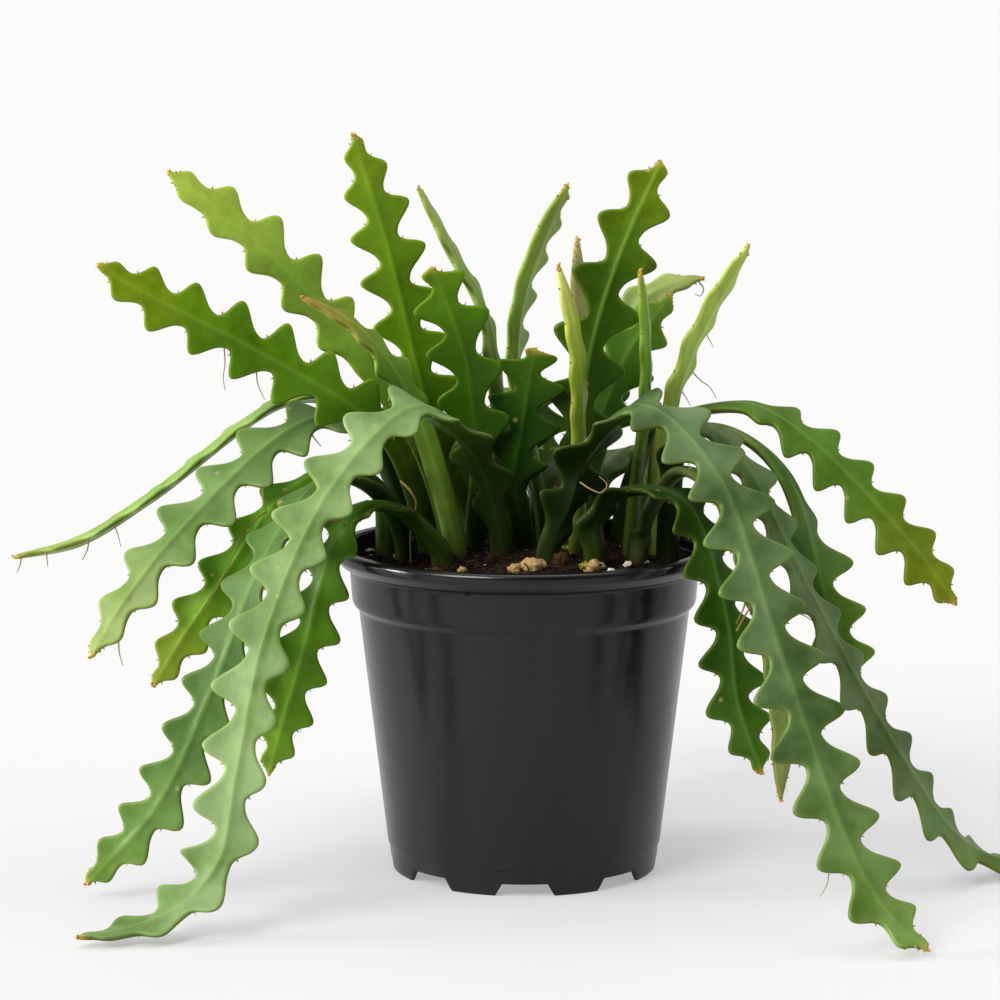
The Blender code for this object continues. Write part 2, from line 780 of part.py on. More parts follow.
class Rib:
    """The curve along a stem's middle, with the way its blade faces at each distance."""

    def __init__(self, stem):
        heights = np.linspace(ROOT_DEPTH, ROOT_TOP, 3)
        route = tuple((*stem.root, height) for height in heights) + stem.route
        self.stem = stem
        self.points = catmull_rom(route, ROUTE_STEP)
        steps = np.linalg.norm(np.diff(self.points, axis=0), axis=1)
        self.along = np.concatenate([[0.0], np.cumsum(steps)])
        self.length = self.along[-1]
        self.tangents = np.gradient(self.points, self.along, axis=0)
        self.hints = np.array(stem.faces, float)
        self.hints_along = np.linspace(0.0, self.length, len(self.hints))

    def place(self, s):
        """Position, tangent, face normal and width direction at distance s from the root."""
        point = along_table(s, self.along, self.points)
        tangent = unit(along_table(s, self.along, self.tangents))
        hint = along_table(s, self.hints_along, self.hints)
        normal = unit(hint - tangent * (hint @ tangent))
        return point, tangent, normal, np.cross(tangent, normal)

    def phase(self, from_tip, side):
        """Lobe count from the tip, part of a lobe later on one side."""
        crowded = from_tip + TIP_CROWDING * (1 - math.exp(-from_tip / TIP_CROWDING))
        return crowded / self.stem.pitch + self.stem.shift + (self.stem.stagger if side > 0 else 0.0)

    def edge(self, s, side):
        """Point of the blade's edge that belongs to distance s, on one side of the rib."""
        stem = self.stem
        from_tip = self.length - s
        widest = stem.half_width * stem.sides[side > 0]
        full = widest * (1 - math.exp(-from_tip / stem.taper))
        to_end = 1 - between_none_and_all(from_tip / TIP_ROUNDING)
        body = NOTCH_HALF_WIDTH * math.sqrt(1 - to_end**2)
        number, share = divmod(self.phase(from_tip, side), 1.0)
        size = 1 - LOBE_VARIATION * (0.5 + 0.5 * math.sin(1.9 * number + 7.0 * stem.shift))
        begun = between_none_and_all((s - stem.stalk - BURIED) / FADE_LENGTH)
        wave = size * lobe_outline(share)
        lobe = max(full - body, 0.0) * wave * begun * begun * (3 - 2 * begun)
        if from_tip > TIP_THINNING:
            body = STALK_HALF_WIDTH + (body - STALK_HALF_WIDTH) * begun
        point, tangent, _, across = self.place(s)
        return point + tangent * LOBE_LEAN * lobe + across * side * (body + lobe)

    def thickness(self, s):
        """Half the thickness at the rib."""
        begun = between_none_and_all((s - BURIED) / STALK_THINNING)
        body = STALK_HALF_THICK + (RIB_HALF_THICK - STALK_HALF_THICK) * begun
        end = min((self.length - s) / TIP_THINNING, 1.0)
        return TIP_HALF_THICK + (body - TIP_HALF_THICK) * end

    def edge_stations(self, side):
        """Distances where the edge has its points: a few for each lobe, fewer on the stalk."""
        first_lobe = BURIED + self.stem.stalk
        stations = list(np.arange(0.0, first_lobe, STALK_STATION_STEP))
        fine = np.arange(first_lobe, self.length - 0.5, 0.25)
        phases = np.array([self.phase(self.length - s, side) for s in fine])
        wanted = [lobe + part for lobe in range(int(phases.max()) + 2) for part in LOBE_PHASES]
        inside = [phase for phase in wanted if phases.min() < phase < phases.max()]
        marks = [float(np.interp(-phase, -phases, fine)) for phase in inside]
        return stations + sorted(mark for mark in marks if mark - stations[-1] > LOBE_SPACE)

    def rib_stations(self):
        """Distances where the rib has its points."""
        count = max(4, round(RIB_POINTS_PER_LOBE * self.length / self.stem.pitch))
        return list(np.linspace(0.0, self.length - LAST_RIB_POINT, count))


def bridge(shape, rib, rib_at, edge, edge_at, flip):
    """Triangles between the rib's points and an edge's points, both sorted by distance."""
    i = j = 0
    while i < len(rib) - 1 or j < len(edge) - 1:
        step_rib = j == len(edge) - 1 or (i < len(rib) - 1 and rib_at[i + 1] < edge_at[j + 1])
        if step_rib:
            corners = (rib[i], rib[i + 1], edge[j])
            i += 1
        else:
            corners = (rib[i], edge[j + 1], edge[j])
            j += 1
        shape.faces.new(corners[::-1] if flip else corners)


def build_stem(stem, group, material):
    """Loft one stem: a rib that stands out on both faces, and lobed wings down to their edges."""
    rib = Rib(stem)
    shape = bmesh.new()
    rib_at = rib.rib_stations()
    upper, lower = [], []
    for s in rib_at:
        point, _, normal, _ = rib.place(s)
        half = rib.thickness(s)
        upper.append(shape.verts.new(point + normal * half))
        lower.append(shape.verts.new(point - normal * half))
    tip = shape.verts.new(rib.points[-1])
    ends = []
    for side in (-1, 1):
        edge_at = rib.edge_stations(side)
        edge = [shape.verts.new(rib.edge(s, side)) for s in edge_at] + [tip]
        edge_at = edge_at + [rib.length]
        bridge(shape, upper, rib_at, edge, edge_at, side > 0)
        bridge(shape, lower, rib_at, edge, edge_at, side < 0)
        ends.append(edge[0])
    shape.faces.new((ends[0], lower[0], upper[0]))
    shape.faces.new((ends[1], upper[0], lower[0]))
    mesh = mesh_from_bmesh(stem.name, shape)
    smooth_shade(mesh)
    return add_object(stem.name, mesh, group, material)


def stem_material(stem, finishes):
    """The finish that a stem of this age has."""
    if stem.name in DRIED_STEMS:
        return finishes["dried"]
    return finishes["young"] if stem.name in YOUNG_STEMS else finishes["grown"]


def main():
    """Build the pot, its potting mix and every stem."""
    clear_scene()
    group = new_collection("potted_fishbone_cactus")
    build_pot(group)
    build_soil(group)
    finishes = {
        "grown": make_material(STEM_FINISH),
        "young": make_material(YOUNG_FINISH),
        "dried": make_material(DRIED_FINISH),
    }
    for stem in STEMS:
        build_stem(stem, group, stem_material(stem, finishes))


if __name__ == "__main__":
    main()
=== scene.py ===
"""Potted fishbone cactus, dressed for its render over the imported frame.

The frame's solids give every place and size. Here each stem is swept again in fine detail along
its own rib, the pot and its potting mix get their mouldings and crumbs, and every surface gets its
finish. Everything is in metres with +Z up; sizes are named in mm and turned by MM.
"""

import json
import logging
import math
from collections.abc import Callable
from dataclasses import dataclass
from enum import Enum
from functools import partial

import bmesh
import bpy
import numpy as np
from bpy.types import Collection, Material, Mesh, Node, NodeSocket, NodeTree, Object
from mathutils import Matrix, Vector, noise

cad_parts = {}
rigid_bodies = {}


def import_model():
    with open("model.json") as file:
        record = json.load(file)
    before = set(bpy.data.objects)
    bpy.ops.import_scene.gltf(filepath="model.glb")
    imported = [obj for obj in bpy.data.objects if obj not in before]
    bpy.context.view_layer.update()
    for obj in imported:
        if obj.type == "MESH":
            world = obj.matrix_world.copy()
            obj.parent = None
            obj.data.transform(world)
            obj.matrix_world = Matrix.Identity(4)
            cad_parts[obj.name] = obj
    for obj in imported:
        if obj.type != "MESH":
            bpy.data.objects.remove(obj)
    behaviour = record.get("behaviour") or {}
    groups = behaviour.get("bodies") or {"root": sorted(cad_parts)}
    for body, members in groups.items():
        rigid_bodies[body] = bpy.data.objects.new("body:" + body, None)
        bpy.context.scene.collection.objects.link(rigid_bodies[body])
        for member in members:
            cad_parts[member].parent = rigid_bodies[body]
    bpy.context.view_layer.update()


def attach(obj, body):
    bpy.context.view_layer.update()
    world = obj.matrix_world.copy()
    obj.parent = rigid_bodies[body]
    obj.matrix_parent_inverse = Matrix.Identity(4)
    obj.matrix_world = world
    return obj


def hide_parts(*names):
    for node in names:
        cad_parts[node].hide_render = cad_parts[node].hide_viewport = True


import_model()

MM = 0.001
BODY = "root"
LOG = logging.getLogger("potted_fishbone_cactus")

Point = tuple[float, float, float]
Colour = tuple[float, float, float, float]
Strand = tuple[np.ndarray, np.ndarray]
Adder = Callable[..., Node]

# Kinds of node that come up often
ATTRIBUTE = "ShaderNodeAttribute"
BUMP = "ShaderNodeBump"
COORDINATES = "ShaderNodeTexCoord"
MAP_RANGE = "ShaderNodeMapRange"
MATH = "ShaderNodeMath"
MIX = "ShaderNodeMix"
NOISE = "ShaderNodeTexNoise"
RANDOM = "FunctionNodeRandomValue"
STORE = "GeometryNodeStoreNamedAttribute"
STORED = "GeometryNodeInputNamedAttribute"
SWITCH = "GeometryNodeSwitch"
VECTOR_MATH = "ShaderNodeVectorMath"

# Inputs of a Map Range that spread out the middle values, which a noise mostly has
MIDDLE = {1: 0.3, 2: 0.7}

# Directions that a stem's upper face can point to
FRONT = (0.0, -1.0, 0.15)
BACK = (0.0, 1.0, 0.15)
UP = (0.0, 0.1, 1.0)
FRONT_UP = (0.0, -0.7, 0.7)


class Slot(Enum):
    """The record's material slots."""

    PLASTIC = "charcoal_plastic"
    MIX = "potting_mix"
    GROWN = "cactus_stem"
    YOUNG = "young_cactus_stem"
    DRIED = "dried_cactus_stem"


@dataclass(frozen=True)
class Stem:
    """One leafy stem: where it roots, the points its rib passes, and how its face turns.

    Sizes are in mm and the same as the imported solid's.
    """

    name: str
    root: tuple[float, float]
    route: tuple[Point, ...]
    faces: tuple[Point, ...] = (FRONT,)
    half_width: float = 15.5
    pitch: float = 18.0
    stalk: float = 30.0
    taper: float = 17.0
    shift: float = 0.0
    stagger: float = 0.5
    sides: tuple[float, float] = (1.0, 1.0)


@dataclass(frozen=True)
class Tone:
    """Skin colours of one stem as sRGB hex, from the soil to its tip.

    The upper face has a share of silver, partly wax and partly painted sheen of the lit top,
    and vein says how pale the rib line is.
    """

    low: str = "45651f"
    middle: str = "54772a"
    tip: str = "7f9a3a"
    bloom: float = 0.15
    vein: float = 0.2


# Stems that stand up, from left to right
UPRIGHT_STEMS = (
    Stem(
        "stem_left_broad", (-38, 6),
        (
            (-43, 1, 150), (-51, -8, 170), (-62, -18, 182), (-104, -24, 208), (-145, -30, 230),
            (-162, -33, 241),
        ),
        half_width=16.0, pitch=19.0, stalk=50.0, shift=0.3,
    ),
    Stem(
        "stem_left_leaning", (-32, 30),
        ((-40, 28, 154), (-51, 24, 178), (-67, 16, 202), (-99, 0, 242), (-137, -14, 275)),
        ((0.7, 0.1, 0.5), (0.7, 0, 0.5), (0.3, -0.9, 0.3), FRONT, FRONT), half_width=14.5,
        pitch=22.0, stalk=75.0, shift=0.58, stagger=0.2, sides=(0.8, 1.06),
    ),
    Stem(
        "stem_left_young", (-27, -3),
        ((-34, 3, 155), (-42, 6, 179), (-52, 0, 197), (-66, -8, 214), (-86, -17, 227)),
        (FRONT, FRONT, FRONT, (0.4, -0.4, 0.7), (0.5, -0.1, 0.8)), half_width=11.0, pitch=16.0,
        stalk=50.0,
    ),
    Stem(
        "stem_tall_left", (-20, 42),
        ((-33, 39, 160), (-42, 34, 193), (-53, 26, 241), (-67, 18, 288)), half_width=16.0,
        pitch=19.0, taper=16.0, shift=0.6,
    ),
    Stem(
        "stem_slim_left", (-8, 32), ((-9, 31, 165), (-17, 28, 218), (-29, 26, 241), (-42, 24, 267)),
        ((0.5, -0.8, 0.3), (0.6, -0.7, 0.3), (0.9, -0.2, 0.45), (0.9, -0.2, 0.45)), half_width=11.0,
        pitch=17.0, stalk=60.0, shift=0.55,
    ),
    Stem(
        "stem_slim_middle", (8, 40),
        ((3, 45, 160), (-4, 47, 192), (-1, 48, 222), (8, 48, 247), (18, 48, 267)),
        ((0.95, -0.1, 0), (0.85, -0.4, -0.1), (0.75, -0.65, -0.2)), half_width=11.0, pitch=17.0,
        shift=0.3, sides=(0.6, 1.4),
    ),
    Stem(
        "stem_middle_dark", (-20, 16),
        ((-17, 14, 156), (-20, 11, 180), (-24, 8, 204), (-36, 2, 237)), pitch=21.0, stalk=22.0,
        taper=5.0, shift=0.2,
    ),
    Stem(
        "stem_middle_blunt", (0, 18), ((-4, 18, 151), (-1, 17, 171), (4, 15, 204)), half_width=17.5,
        pitch=17.0, stalk=14.0, taper=4.0, shift=0.4,
    ),
    Stem(
        "stem_yellow_young", (21, 2), ((21, 2, 153), (21, 3, 177), (20, 4, 204), (13, 6, 238)),
        ((0.9, -0.5, 0.1),), half_width=8.0, pitch=16.0, stalk=40.0,
    ),
    Stem(
        "stem_pale_slim", (12, 30), ((17, 32, 150), (22, 33, 170), (22.5, 33, 200), (21, 33, 247)),
        ((0.8, -0.6, 0),), half_width=4.5, pitch=16.0, stalk=60.0,
    ),
    Stem(
        "stem_tall_right", (18, 20),
        ((20, 20, 155), (23, 20, 183), (28, 22, 210), (37, 25, 238), (54, 30, 277)),
        half_width=17.0, pitch=23.0, taper=12.0, shift=0.6,
    ),
    Stem(
        "stem_slim_right", (42, 4), ((44, 5, 153), (47, 6, 180), (47, 7, 212), (45, 8, 236)),
        ((0.95, -0.3, 0),), half_width=9.0, pitch=17.0, stalk=45.0,
    ),
    Stem(
        "stem_right_leaning", (52, 12),
        ((52, 12, 159), (58, 12, 184), (65, 12, 204), (74, 12, 222), (88, 12, 245)),
        ((0.88, -0.4, -0.2), (0.75, -0.6, -0.3)), half_width=10.0, pitch=19.0, stalk=45.0,
        shift=0.5,
    ),
    Stem(
        "stem_back_broad", (26, 36), ((28, 44, 159), (34, 48, 179), (43, 50, 199), (60, 54, 222)),
        half_width=18.0, pitch=19.0, shift=0.4,
    ),
    Stem(
        "stem_back_pale", (14, 52),
        ((31, 60, 166), (37, 62, 194), (47, 64, 216), (60, 66, 224), (74, 68, 227)),
        (FRONT, FRONT, FRONT_UP), half_width=11.0, pitch=16.0, stalk=40.0,
    ),
    Stem(
        "stem_back_low", (-38, 44), ((-45, 51, 152), (-51, 60, 176), (-54, 66, 194)),
        ((-0.5, 0.9, 0.1),), half_width=14.0, stalk=16.0, taper=10.0,
    ),
)

# Stems that arch over the rim, on the right, on the left and at the back
RIGHT_STEMS = (
    Stem(
        "stem_right_arch_front", (9, -13),
        (
            (17, -12, 147), (23, -14, 165), (44, -28, 185), (71, -54, 164), (94, -94, 100),
            (117, -120, 36), (130, -130, 14), (144, -139, 3),
        ),
        (
            BACK, (0, 0.3, 1), (0.3, -0.8, 0.5), (0.2, -1, 0.3), (0.2, -1, 0.3), (0.2, -1, 0.4),
            (0.1, -0.7, 0.8),
        ),
        half_width=17.5, pitch=21.0, stalk=4.0, shift=0.16,
    ),
    Stem(
        "stem_right_arch_second", (56, -4),
        (
            (57, -5, 150), (59, -8, 168), (66, -13, 177), (81, -23, 166), (107, -42, 117),
            (135, -45, 66), (165, -35, 20), (183, -24, 7), (200, -8, 4),
        ),
        (BACK, UP, (0.5, -0.5, 0.7), (0.7, -0.5, 0.5), (0.65, -0.6, 0.45), (0.6, -0.5, 0.6), UP),
        half_width=16.0, pitch=20.0, shift=0.3,
    ),
    Stem(
        "stem_right_arch_third", (46, 30),
        (
            (55, 27, 152), (66, 19, 169), (82, 7, 171), (101, -5, 156), (118, -20, 104),
            (129, -25, 78),
        ),
        (BACK, (0, 0.3, 1), (0.6, 0.2, 0.8), (0.7, -0.6, 0.3), (0.3, -1, 0), (0.2, -1, 0)),
        half_width=17.0, pitch=21.0, stalk=110.0, taper=8.0, shift=0.6,
    ),
    Stem(
        "stem_right_arch_high", (40, 44),
        (
            (47, 42, 156), (56, 34, 171), (87, 18, 180), (106, 10, 172), (147, -2, 133),
            (169, -8, 105),
        ),
        (BACK, (0, 0.4, 1), (0.1, -0.1, 1), (0.4, -0.8, 0.5), (0.3, -1, 0.3), (0.3, -1, 0.3)),
        half_width=13.5, stalk=85.0, taper=12.0, shift=0.25, sides=(1.0, 1.2),
    ),
    Stem(
        "stem_right_hanging", (27, -24),
        (
            (26, -24, 140), (33, -26, 150), (46, -30, 154), (61, -36, 149), (76, -50, 107),
            (80, -52, 77), (90, -54, 48),
        ),
        ((-0.3, 0.9, 0.3), (-0.2, 0.3, 1), (0.3, -0.6, 0.8), (0.2, -1, 0.1), (0.1, -1, 0.1)),
        half_width=15.0, stalk=4.0, taper=12.0, shift=0.7,
    ),
    Stem(
        "stem_right_dried", (44, -12),
        (
            (50, -12, 146), (59, -18, 159), (69, -33, 158), (78, -49, 147), (88, -62, 115),
            (96, -68, 78), (96, -68, 41),
        ),
        ((0.2, 0.3, 1), (0.4, -0.6, 0.7), (0.5, -0.9, 0.1)), half_width=7.0, pitch=15.0, stalk=60.0,
    ),
)

LEFT_STEMS = (
    Stem(
        "stem_left_arch_front", (-9, 2),
        (
            (-12, 1, 146), (-19, -6, 166), (-42, -32, 185), (-71, -56, 160), (-95, -84, 110),
            (-106, -102, 57), (-112, -108, 28), (-128, -112, 10), (-148, -118, 4), (-163, -124, 4),
        ),
        (BACK, (0, 0.2, 1), (-0.2, -0.9, 0.4), (-0.2, -0.9, 0.4), (-0.2, -1, 0.2), FRONT_UP, UP),
        half_width=16.5, pitch=22.0, stalk=6.0, shift=0.6, sides=(0.78, 1.0),
    ),
    Stem(
        "stem_left_arch_silver", (-42, 20),
        (
            (-52, 14, 152), (-61, 7, 170), (-74, -4, 178), (-91, -13, 174), (-130, -42, 140),
            (-149, -53, 117), (-164, -60, 94),
        ),
        (BACK, (0, 0.2, 1), (-0.2, -0.8, 0.6), (-0.3, -0.8, 0.6), (-0.3, -0.8, 0.5)),
        half_width=16.5, pitch=22.0, stalk=40.0, taper=20.0, shift=0.5,
    ),
    Stem(
        "stem_left_arch_flat", (-46, 34),
        (
            (-53, 31, 153), (-61, 27, 172), (-77, 22, 182.5), (-96, 14, 182), (-146, -3, 147),
            (-173, -10, 131), (-199, -14, 125),
        ),
        (BACK, UP, UP, UP), half_width=13.0, pitch=19.0, stalk=50.0,
    ),
    Stem(
        "stem_left_arch_low", (-54, 6),
        (
            (-55, 4, 145), (-62, 0, 155), (-75, -8, 157), (-92, -22, 150), (-123, -40, 109),
            (-142, -44, 80),
        ),
        (BACK, (0, 0.2, 1), (-0.3, -0.7, 0.6), (-0.2, -1, 0.2), (-0.2, -1, 0.2)), half_width=13.5,
        pitch=19.0, stalk=50.0, taper=12.0, shift=0.65,
    ),
    Stem(
        "stem_left_trailing", (-46, -8),
        (
            (-50, -12, 142), (-60, -19, 154), (-75, -31, 158), (-96, -50, 134), (-117, -64, 83),
            (-140, -62, 36), (-168, -54, 5),
        ),
        (BACK, (0, 0.2, 1), (-0.3, -0.7, 0.6), (-0.2, -1, 0.3), (-0.2, -1, 0.3)), half_width=15.0,
        pitch=20.0, stalk=52.0, shift=0.6,
    ),
    Stem(
        "stem_left_hanging", (-32, -24),
        (
            (-41, -25, 140), (-52, -28, 147), (-63, -32, 147), (-71, -38, 136), (-83, -45, 97),
            (-98, -50, 47),
        ),
        (BACK, (0, 0.2, 1), (-0.4, -0.6, 0.6), (-0.1, -1, 0.1), (-0.1, -1, 0.1)), half_width=14.0,
        pitch=17.0, stalk=12.0, taper=12.0, shift=0.35,
    ),
)

BACK_STEMS = (
    Stem(
        "stem_back_left_trailing", (-20, 54),
        (
            (-21, 62, 154), (-28, 83, 168), (-36, 104, 140), (-40, 116, 90), (-42, 122, 40),
            (-43, 128, 12), (-44, 139, 4),
        ),
        (FRONT, (0, 0.2, 1), (-0.2, 1, 0.3), (0, 1, 0.2), (0, 1, 0.4)), pitch=20.0, stalk=14.0,
        shift=0.2,
    ),
    Stem(
        "stem_back_arch", (-4, 50),
        ((-3, 58, 160), (2, 80, 180), (8, 104, 160), (12, 120, 118), (15, 126, 80)),
        (FRONT, UP, (0.2, 1, 0.5), (0, 1, 0.2)), half_width=15.0, pitch=19.0, stalk=14.0, shift=0.7,
    ),
    Stem(
        "stem_back_right_trailing", (6, 57),
        ((10, 70, 148), (22, 92, 152), (32, 108, 120), (37, 114, 75), (40, 117, 36)),
        (FRONT, UP, (0.2, 1, 0.3), (0.1, 1, 0.1)), half_width=15.0, stalk=10.0,
    ),
    Stem(
        "stem_back_right_hanging", (26, 52),
        ((34, 66, 148), (48, 82, 154), (58, 94, 128), (62, 100, 92), (62, 102, 66)),
        (FRONT, UP, (0.6, 1, 0.3), (0.5, 1, 0.1)), half_width=13.0, stalk=12.0,
    ),
)

STEMS = UPRIGHT_STEMS + RIGHT_STEMS + LEFT_STEMS + BACK_STEMS
YOUNG_STEMS = ("stem_yellow_young", "stem_left_young", "stem_right_leaning")
DRIED_STEMS = ("stem_right_dried",)

# Skin colours of single stems, matched to the photograph
TONES = {
    "stem_left_broad": Tone("3a560a", "547c08", "84980e", 0.03, 0.10),
    "stem_left_leaning": Tone("567a22", "8aaa3a", "b0c44e", 0.10, 0.10),
    "stem_left_young": Tone("5c7e20", "6c9028", "9c8a38", 0.12, 0.2),
    # Its low tone is paler than its middle: painted light, where the front light falls on the stalk
    "stem_tall_left": Tone("8aa63c", "6a8e10", "76900a", 0.04, 0.10),
    "stem_slim_left": Tone("60822c", "80a044", "98a854", 0.20, 0.2),
    "stem_slim_middle": Tone("60822c", "82a43c", "9cae50", 0.20, 0.2),
    "stem_middle_dark": Tone("466a0a", "4a760a", "628a0a", 0.0, 0.08),
    "stem_middle_blunt": Tone("284c04", "366006", "487006", 0.0, 0.08),
    "stem_yellow_young": Tone("849a24", "9cb434", "d0d47a", 0.08, 0.2),
    "stem_pale_slim": Tone("8c9a50", "a8aa70", "b8a878", 0.30, 0.15),
    "stem_tall_right": Tone("2e4604", "3e5c06", "6c840e", 0.02, 0.26),
    "stem_slim_right": Tone("50781a", "68941e", "90ac3c", 0.12, 0.2),
    "stem_right_leaning": Tone("90ac44", "a2bc4c", "b8cc60", 0.20, 0.15),
    "stem_back_broad": Tone("507c28", "629432", "7c9c3c", 0.04, 0.2),
    "stem_back_pale": Tone("4c7024", "78904c", "8c9444", 0.32, 0.15),
    "stem_right_arch_front": Tone("4a642e", "304e10", "5a7a20", 0.38, 0.08),
    "stem_right_arch_second": Tone("3e5822", "3e5a20", "5c7a28", 0.30, 0.10),
    "stem_right_arch_third": Tone("4c6c2c", "3a5c10", "5c801c", 0.16, 0.10),
    "stem_right_arch_high": Tone("486a28", "4c7018", "787e0c", 0.08, 0.10),
    "stem_right_hanging": Tone("5c7430", "2c5000", "3c6406", 0.10, 0.12),
    "stem_right_dried": Tone("6c7c40", "64803a", "868e46", 0.30, 0.2),
    "stem_left_arch_front": Tone("3e5c1e", "5a7a32", "486a20", 0.68, 0.10),
    "stem_left_arch_silver": Tone("304f12", "486a20", "7c8e3e", 0.38, 0.12),
    "stem_left_arch_flat": Tone("547a2a", "749640", "8ca048", 0.30, 0.2),
    "stem_left_arch_low": Tone("466e10", "52800c", "8a9a2a", 0.06, 0.15),
    "stem_left_trailing": Tone("2a440c", "446626", "5a7a28", 0.20, 0.10),
    "stem_left_hanging": Tone("4a7214", "588418", "729828", 0.06, 0.15),
}


def linear(hex_colour: str) -> Colour:
    """Turns an sRGB hex colour to the linear values that shaders take.

    Args:
        hex_colour: Six hex digits, such as "8a9b3c".

    Returns:
        Linear red, green and blue, and an alpha of one.
    """
    parts = [int(hex_colour[start : start + 2], 16) / 255 for start in (0, 2, 4)]
    red, green, blue = (
        part / 12.92 if part <= 0.04045 else ((part + 0.055) / 1.055) ** 2.4 for part in parts
    )
    return (red, green, blue, 1.0)


def wire(node: Node, inputs: dict) -> Node:
    """Links or sets a node's inputs.

    Args:
        node: The node.
        inputs: A value, a node or an output socket for each input, by its index or name.

    Returns:
        The same node.
    """
    for key, value in inputs.items():
        source = value.outputs[0] if isinstance(value, Node) else value
        if isinstance(source, NodeSocket):
            node.id_data.links.new(source, node.inputs[key])
        else:
            node.inputs[key].default_value = source
    return node


def add_node(tree: NodeTree, kind: str, inputs: dict | None = None, **settings: object) -> Node:
    """Adds a node with its settings and links.

    Args:
        tree: The tree that gets the node.
        kind: The node's type name.
        inputs: What wire takes.
        **settings: Values for the node's own properties, set before its inputs.

    Returns:
        The new node.
    """
    made = tree.nodes.new(kind)
    for name, value in settings.items():
        setattr(made, name, value)
    return wire(made, inputs or {})


def new_material(name: str) -> tuple[Material, Adder, Node, NodeSocket]:
    """Makes a material with a Principled shader and its output.

    Args:
        name: What the surface is.

    Returns:
        The material, what adds a node to it, its shader and the object's own coordinates.
    """
    material = bpy.data.materials.new(name)
    material.use_nodes = True
    add = partial(add_node, material.node_tree)
    place = add(COORDINATES).outputs["Object"]
    return material, add, material.node_tree.nodes["Principled BSDF"], place


def paint(add: Adder, colour: Colour | NodeSocket, layers: list[tuple[Node, str]]) -> NodeSocket:
    """Lays colours over each other.

    Args:
        add: What adds a node to the tree.
        colour: The ground.
        layers: The share and the hex colour of each layer, from the ground up.

    Returns:
        The socket that holds the mixed colour.
    """
    for share, shade in layers:
        colour = add(MIX, {0: share, 6: colour, 7: linear(shade)}, data_type="RGBA").outputs[2]
    return colour


def open_tree(name: str, sizes: dict) -> tuple[NodeTree, Adder, Node]:
    """Starts a geometry tree with a geometry input and named inputs for its sizes.

    Args:
        name: The tree's name.
        sizes: Default value of each named input; None stands for a material.

    Returns:
        The tree, what adds a node to it and its group input node.
    """
    tree = bpy.data.node_groups.new(name, "GeometryNodeTree")
    for way in ("OUTPUT", "INPUT"):
        tree.interface.new_socket("Geometry", in_out=way, socket_type="NodeSocketGeometry")
    kinds = {float: "NodeSocketFloat", int: "NodeSocketInt", type(None): "NodeSocketMaterial"}
    for label, value in sizes.items():
        socket = tree.interface.new_socket(label, in_out="INPUT", socket_type=kinds[type(value)])
        if value is not None:
            socket.default_value = value
    return tree, partial(add_node, tree), add_node(tree, "NodeGroupInput")


def close_tree(add: Adder, shape: Node, given: Node) -> None:
    """Ends a geometry tree in smooth shading, Realize Instances and Set Material.

    Args:
        add: What adds a node to the tree.
        shape: The node that holds the finished shape.
        given: The group input node, which has a Material socket.
    """
    smooth = add("GeometryNodeSetShadeSmooth", {0: shape})
    real = add("GeometryNodeRealizeInstances", {0: smooth})
    dressed = add("GeometryNodeSetMaterial", {0: real, "Material": given.outputs["Material"]})
    add("NodeGroupOutput", {0: dressed})


def link_object(name: str, mesh: Mesh) -> Object:
    """Shows a mesh in the scene as an object at the origin."""
    thing = bpy.data.objects.new(name, mesh)
    bpy.context.scene.collection.objects.link(thing)
    return thing


def make_plain(thing: Object) -> Object:
    """Turns an object's evaluated shape into its plain mesh, with no modifiers left."""
    bpy.context.view_layer.update()
    graph = bpy.context.evaluated_depsgraph_get()
    mesh = bpy.data.meshes.new_from_object(thing.evaluated_get(graph))
    mesh.name = thing.name
    thing.modifiers.clear()
    thing.data = mesh
    return thing


def grow(name: str, mesh: Mesh, tree: NodeTree, sizes: dict) -> Object:
    """Runs a geometry tree on a mesh and keeps the result as a plain mesh.

    Args:
        name: The piece's name.
        mesh: What the tree starts from.
        tree: The geometry tree.
        sizes: Values for its named inputs.

    Returns:
        The finished object.
    """
    thing = link_object(name, mesh)
    modifier = thing.modifiers.new(tree.name, "NODES")
    modifier.node_group = tree
    for item in tree.interface.items_tree:
        if item.in_out == "INPUT" and item.name in sizes:
            modifier[item.identifier] = sizes[item.name]
    return make_plain(thing)


def mesh_from(
    name: str, points: np.ndarray, edges: list | None = None, faces: list | None = None
) -> Mesh:
    """Makes a mesh in metres from points in mm.

    Args:
        name: The mesh's name.
        points: One row of x, y and z for each point.
        edges: Pairs of point numbers.
        faces: Lists of point numbers.

    Returns:
        The mesh.
    """
    mesh = bpy.data.meshes.new(name)
    mesh.from_pydata((np.asarray(points) * MM).tolist(), edges or [], faces or [])
    return mesh


def take_shape(shape: bmesh.types.BMesh, name: str) -> Mesh:
    """Turns an edited shape into a mesh and frees it."""
    mesh = bpy.data.meshes.new(name)
    shape.to_mesh(mesh)
    shape.free()
    return mesh


def store(mesh: Mesh, **rows: np.ndarray) -> None:
    """Stores attributes on a mesh, each a number or a row of three for each point."""
    for name, values in rows.items():
        values = np.asarray(values, np.float32)
        kind, key = ("FLOAT", "value") if values.ndim == 1 else ("FLOAT_VECTOR", "vector")
        mesh.attributes.new(name, kind, "POINT").data.foreach_set(key, values.ravel())


def ride(piece: Object, node: str | None = None) -> None:
    """Puts a finished piece on the body and in its node's place.

    Args:
        piece: The finished piece.
        node: The CAD node that it stands for, if it replaces one.
    """
    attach(piece, BODY)
    if node is not None:
        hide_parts(node)
    LOG.info("%s: %d faces", piece.name, len(piece.data.polygons))


def smoothstep(values: np.ndarray) -> np.ndarray:
    """Values kept between 0 and 1, with a soft start and end."""
    kept = np.clip(values, 0.0, 1.0)
    return kept * kept * (3 - 2 * kept)


def blend(start: np.ndarray, end: np.ndarray, low: float, high: float, at: np.ndarray) -> np.ndarray:
    """Points between start and end for values between low and high."""
    share = (at - low) / (high - low)
    return start * (1 - share) + end * share


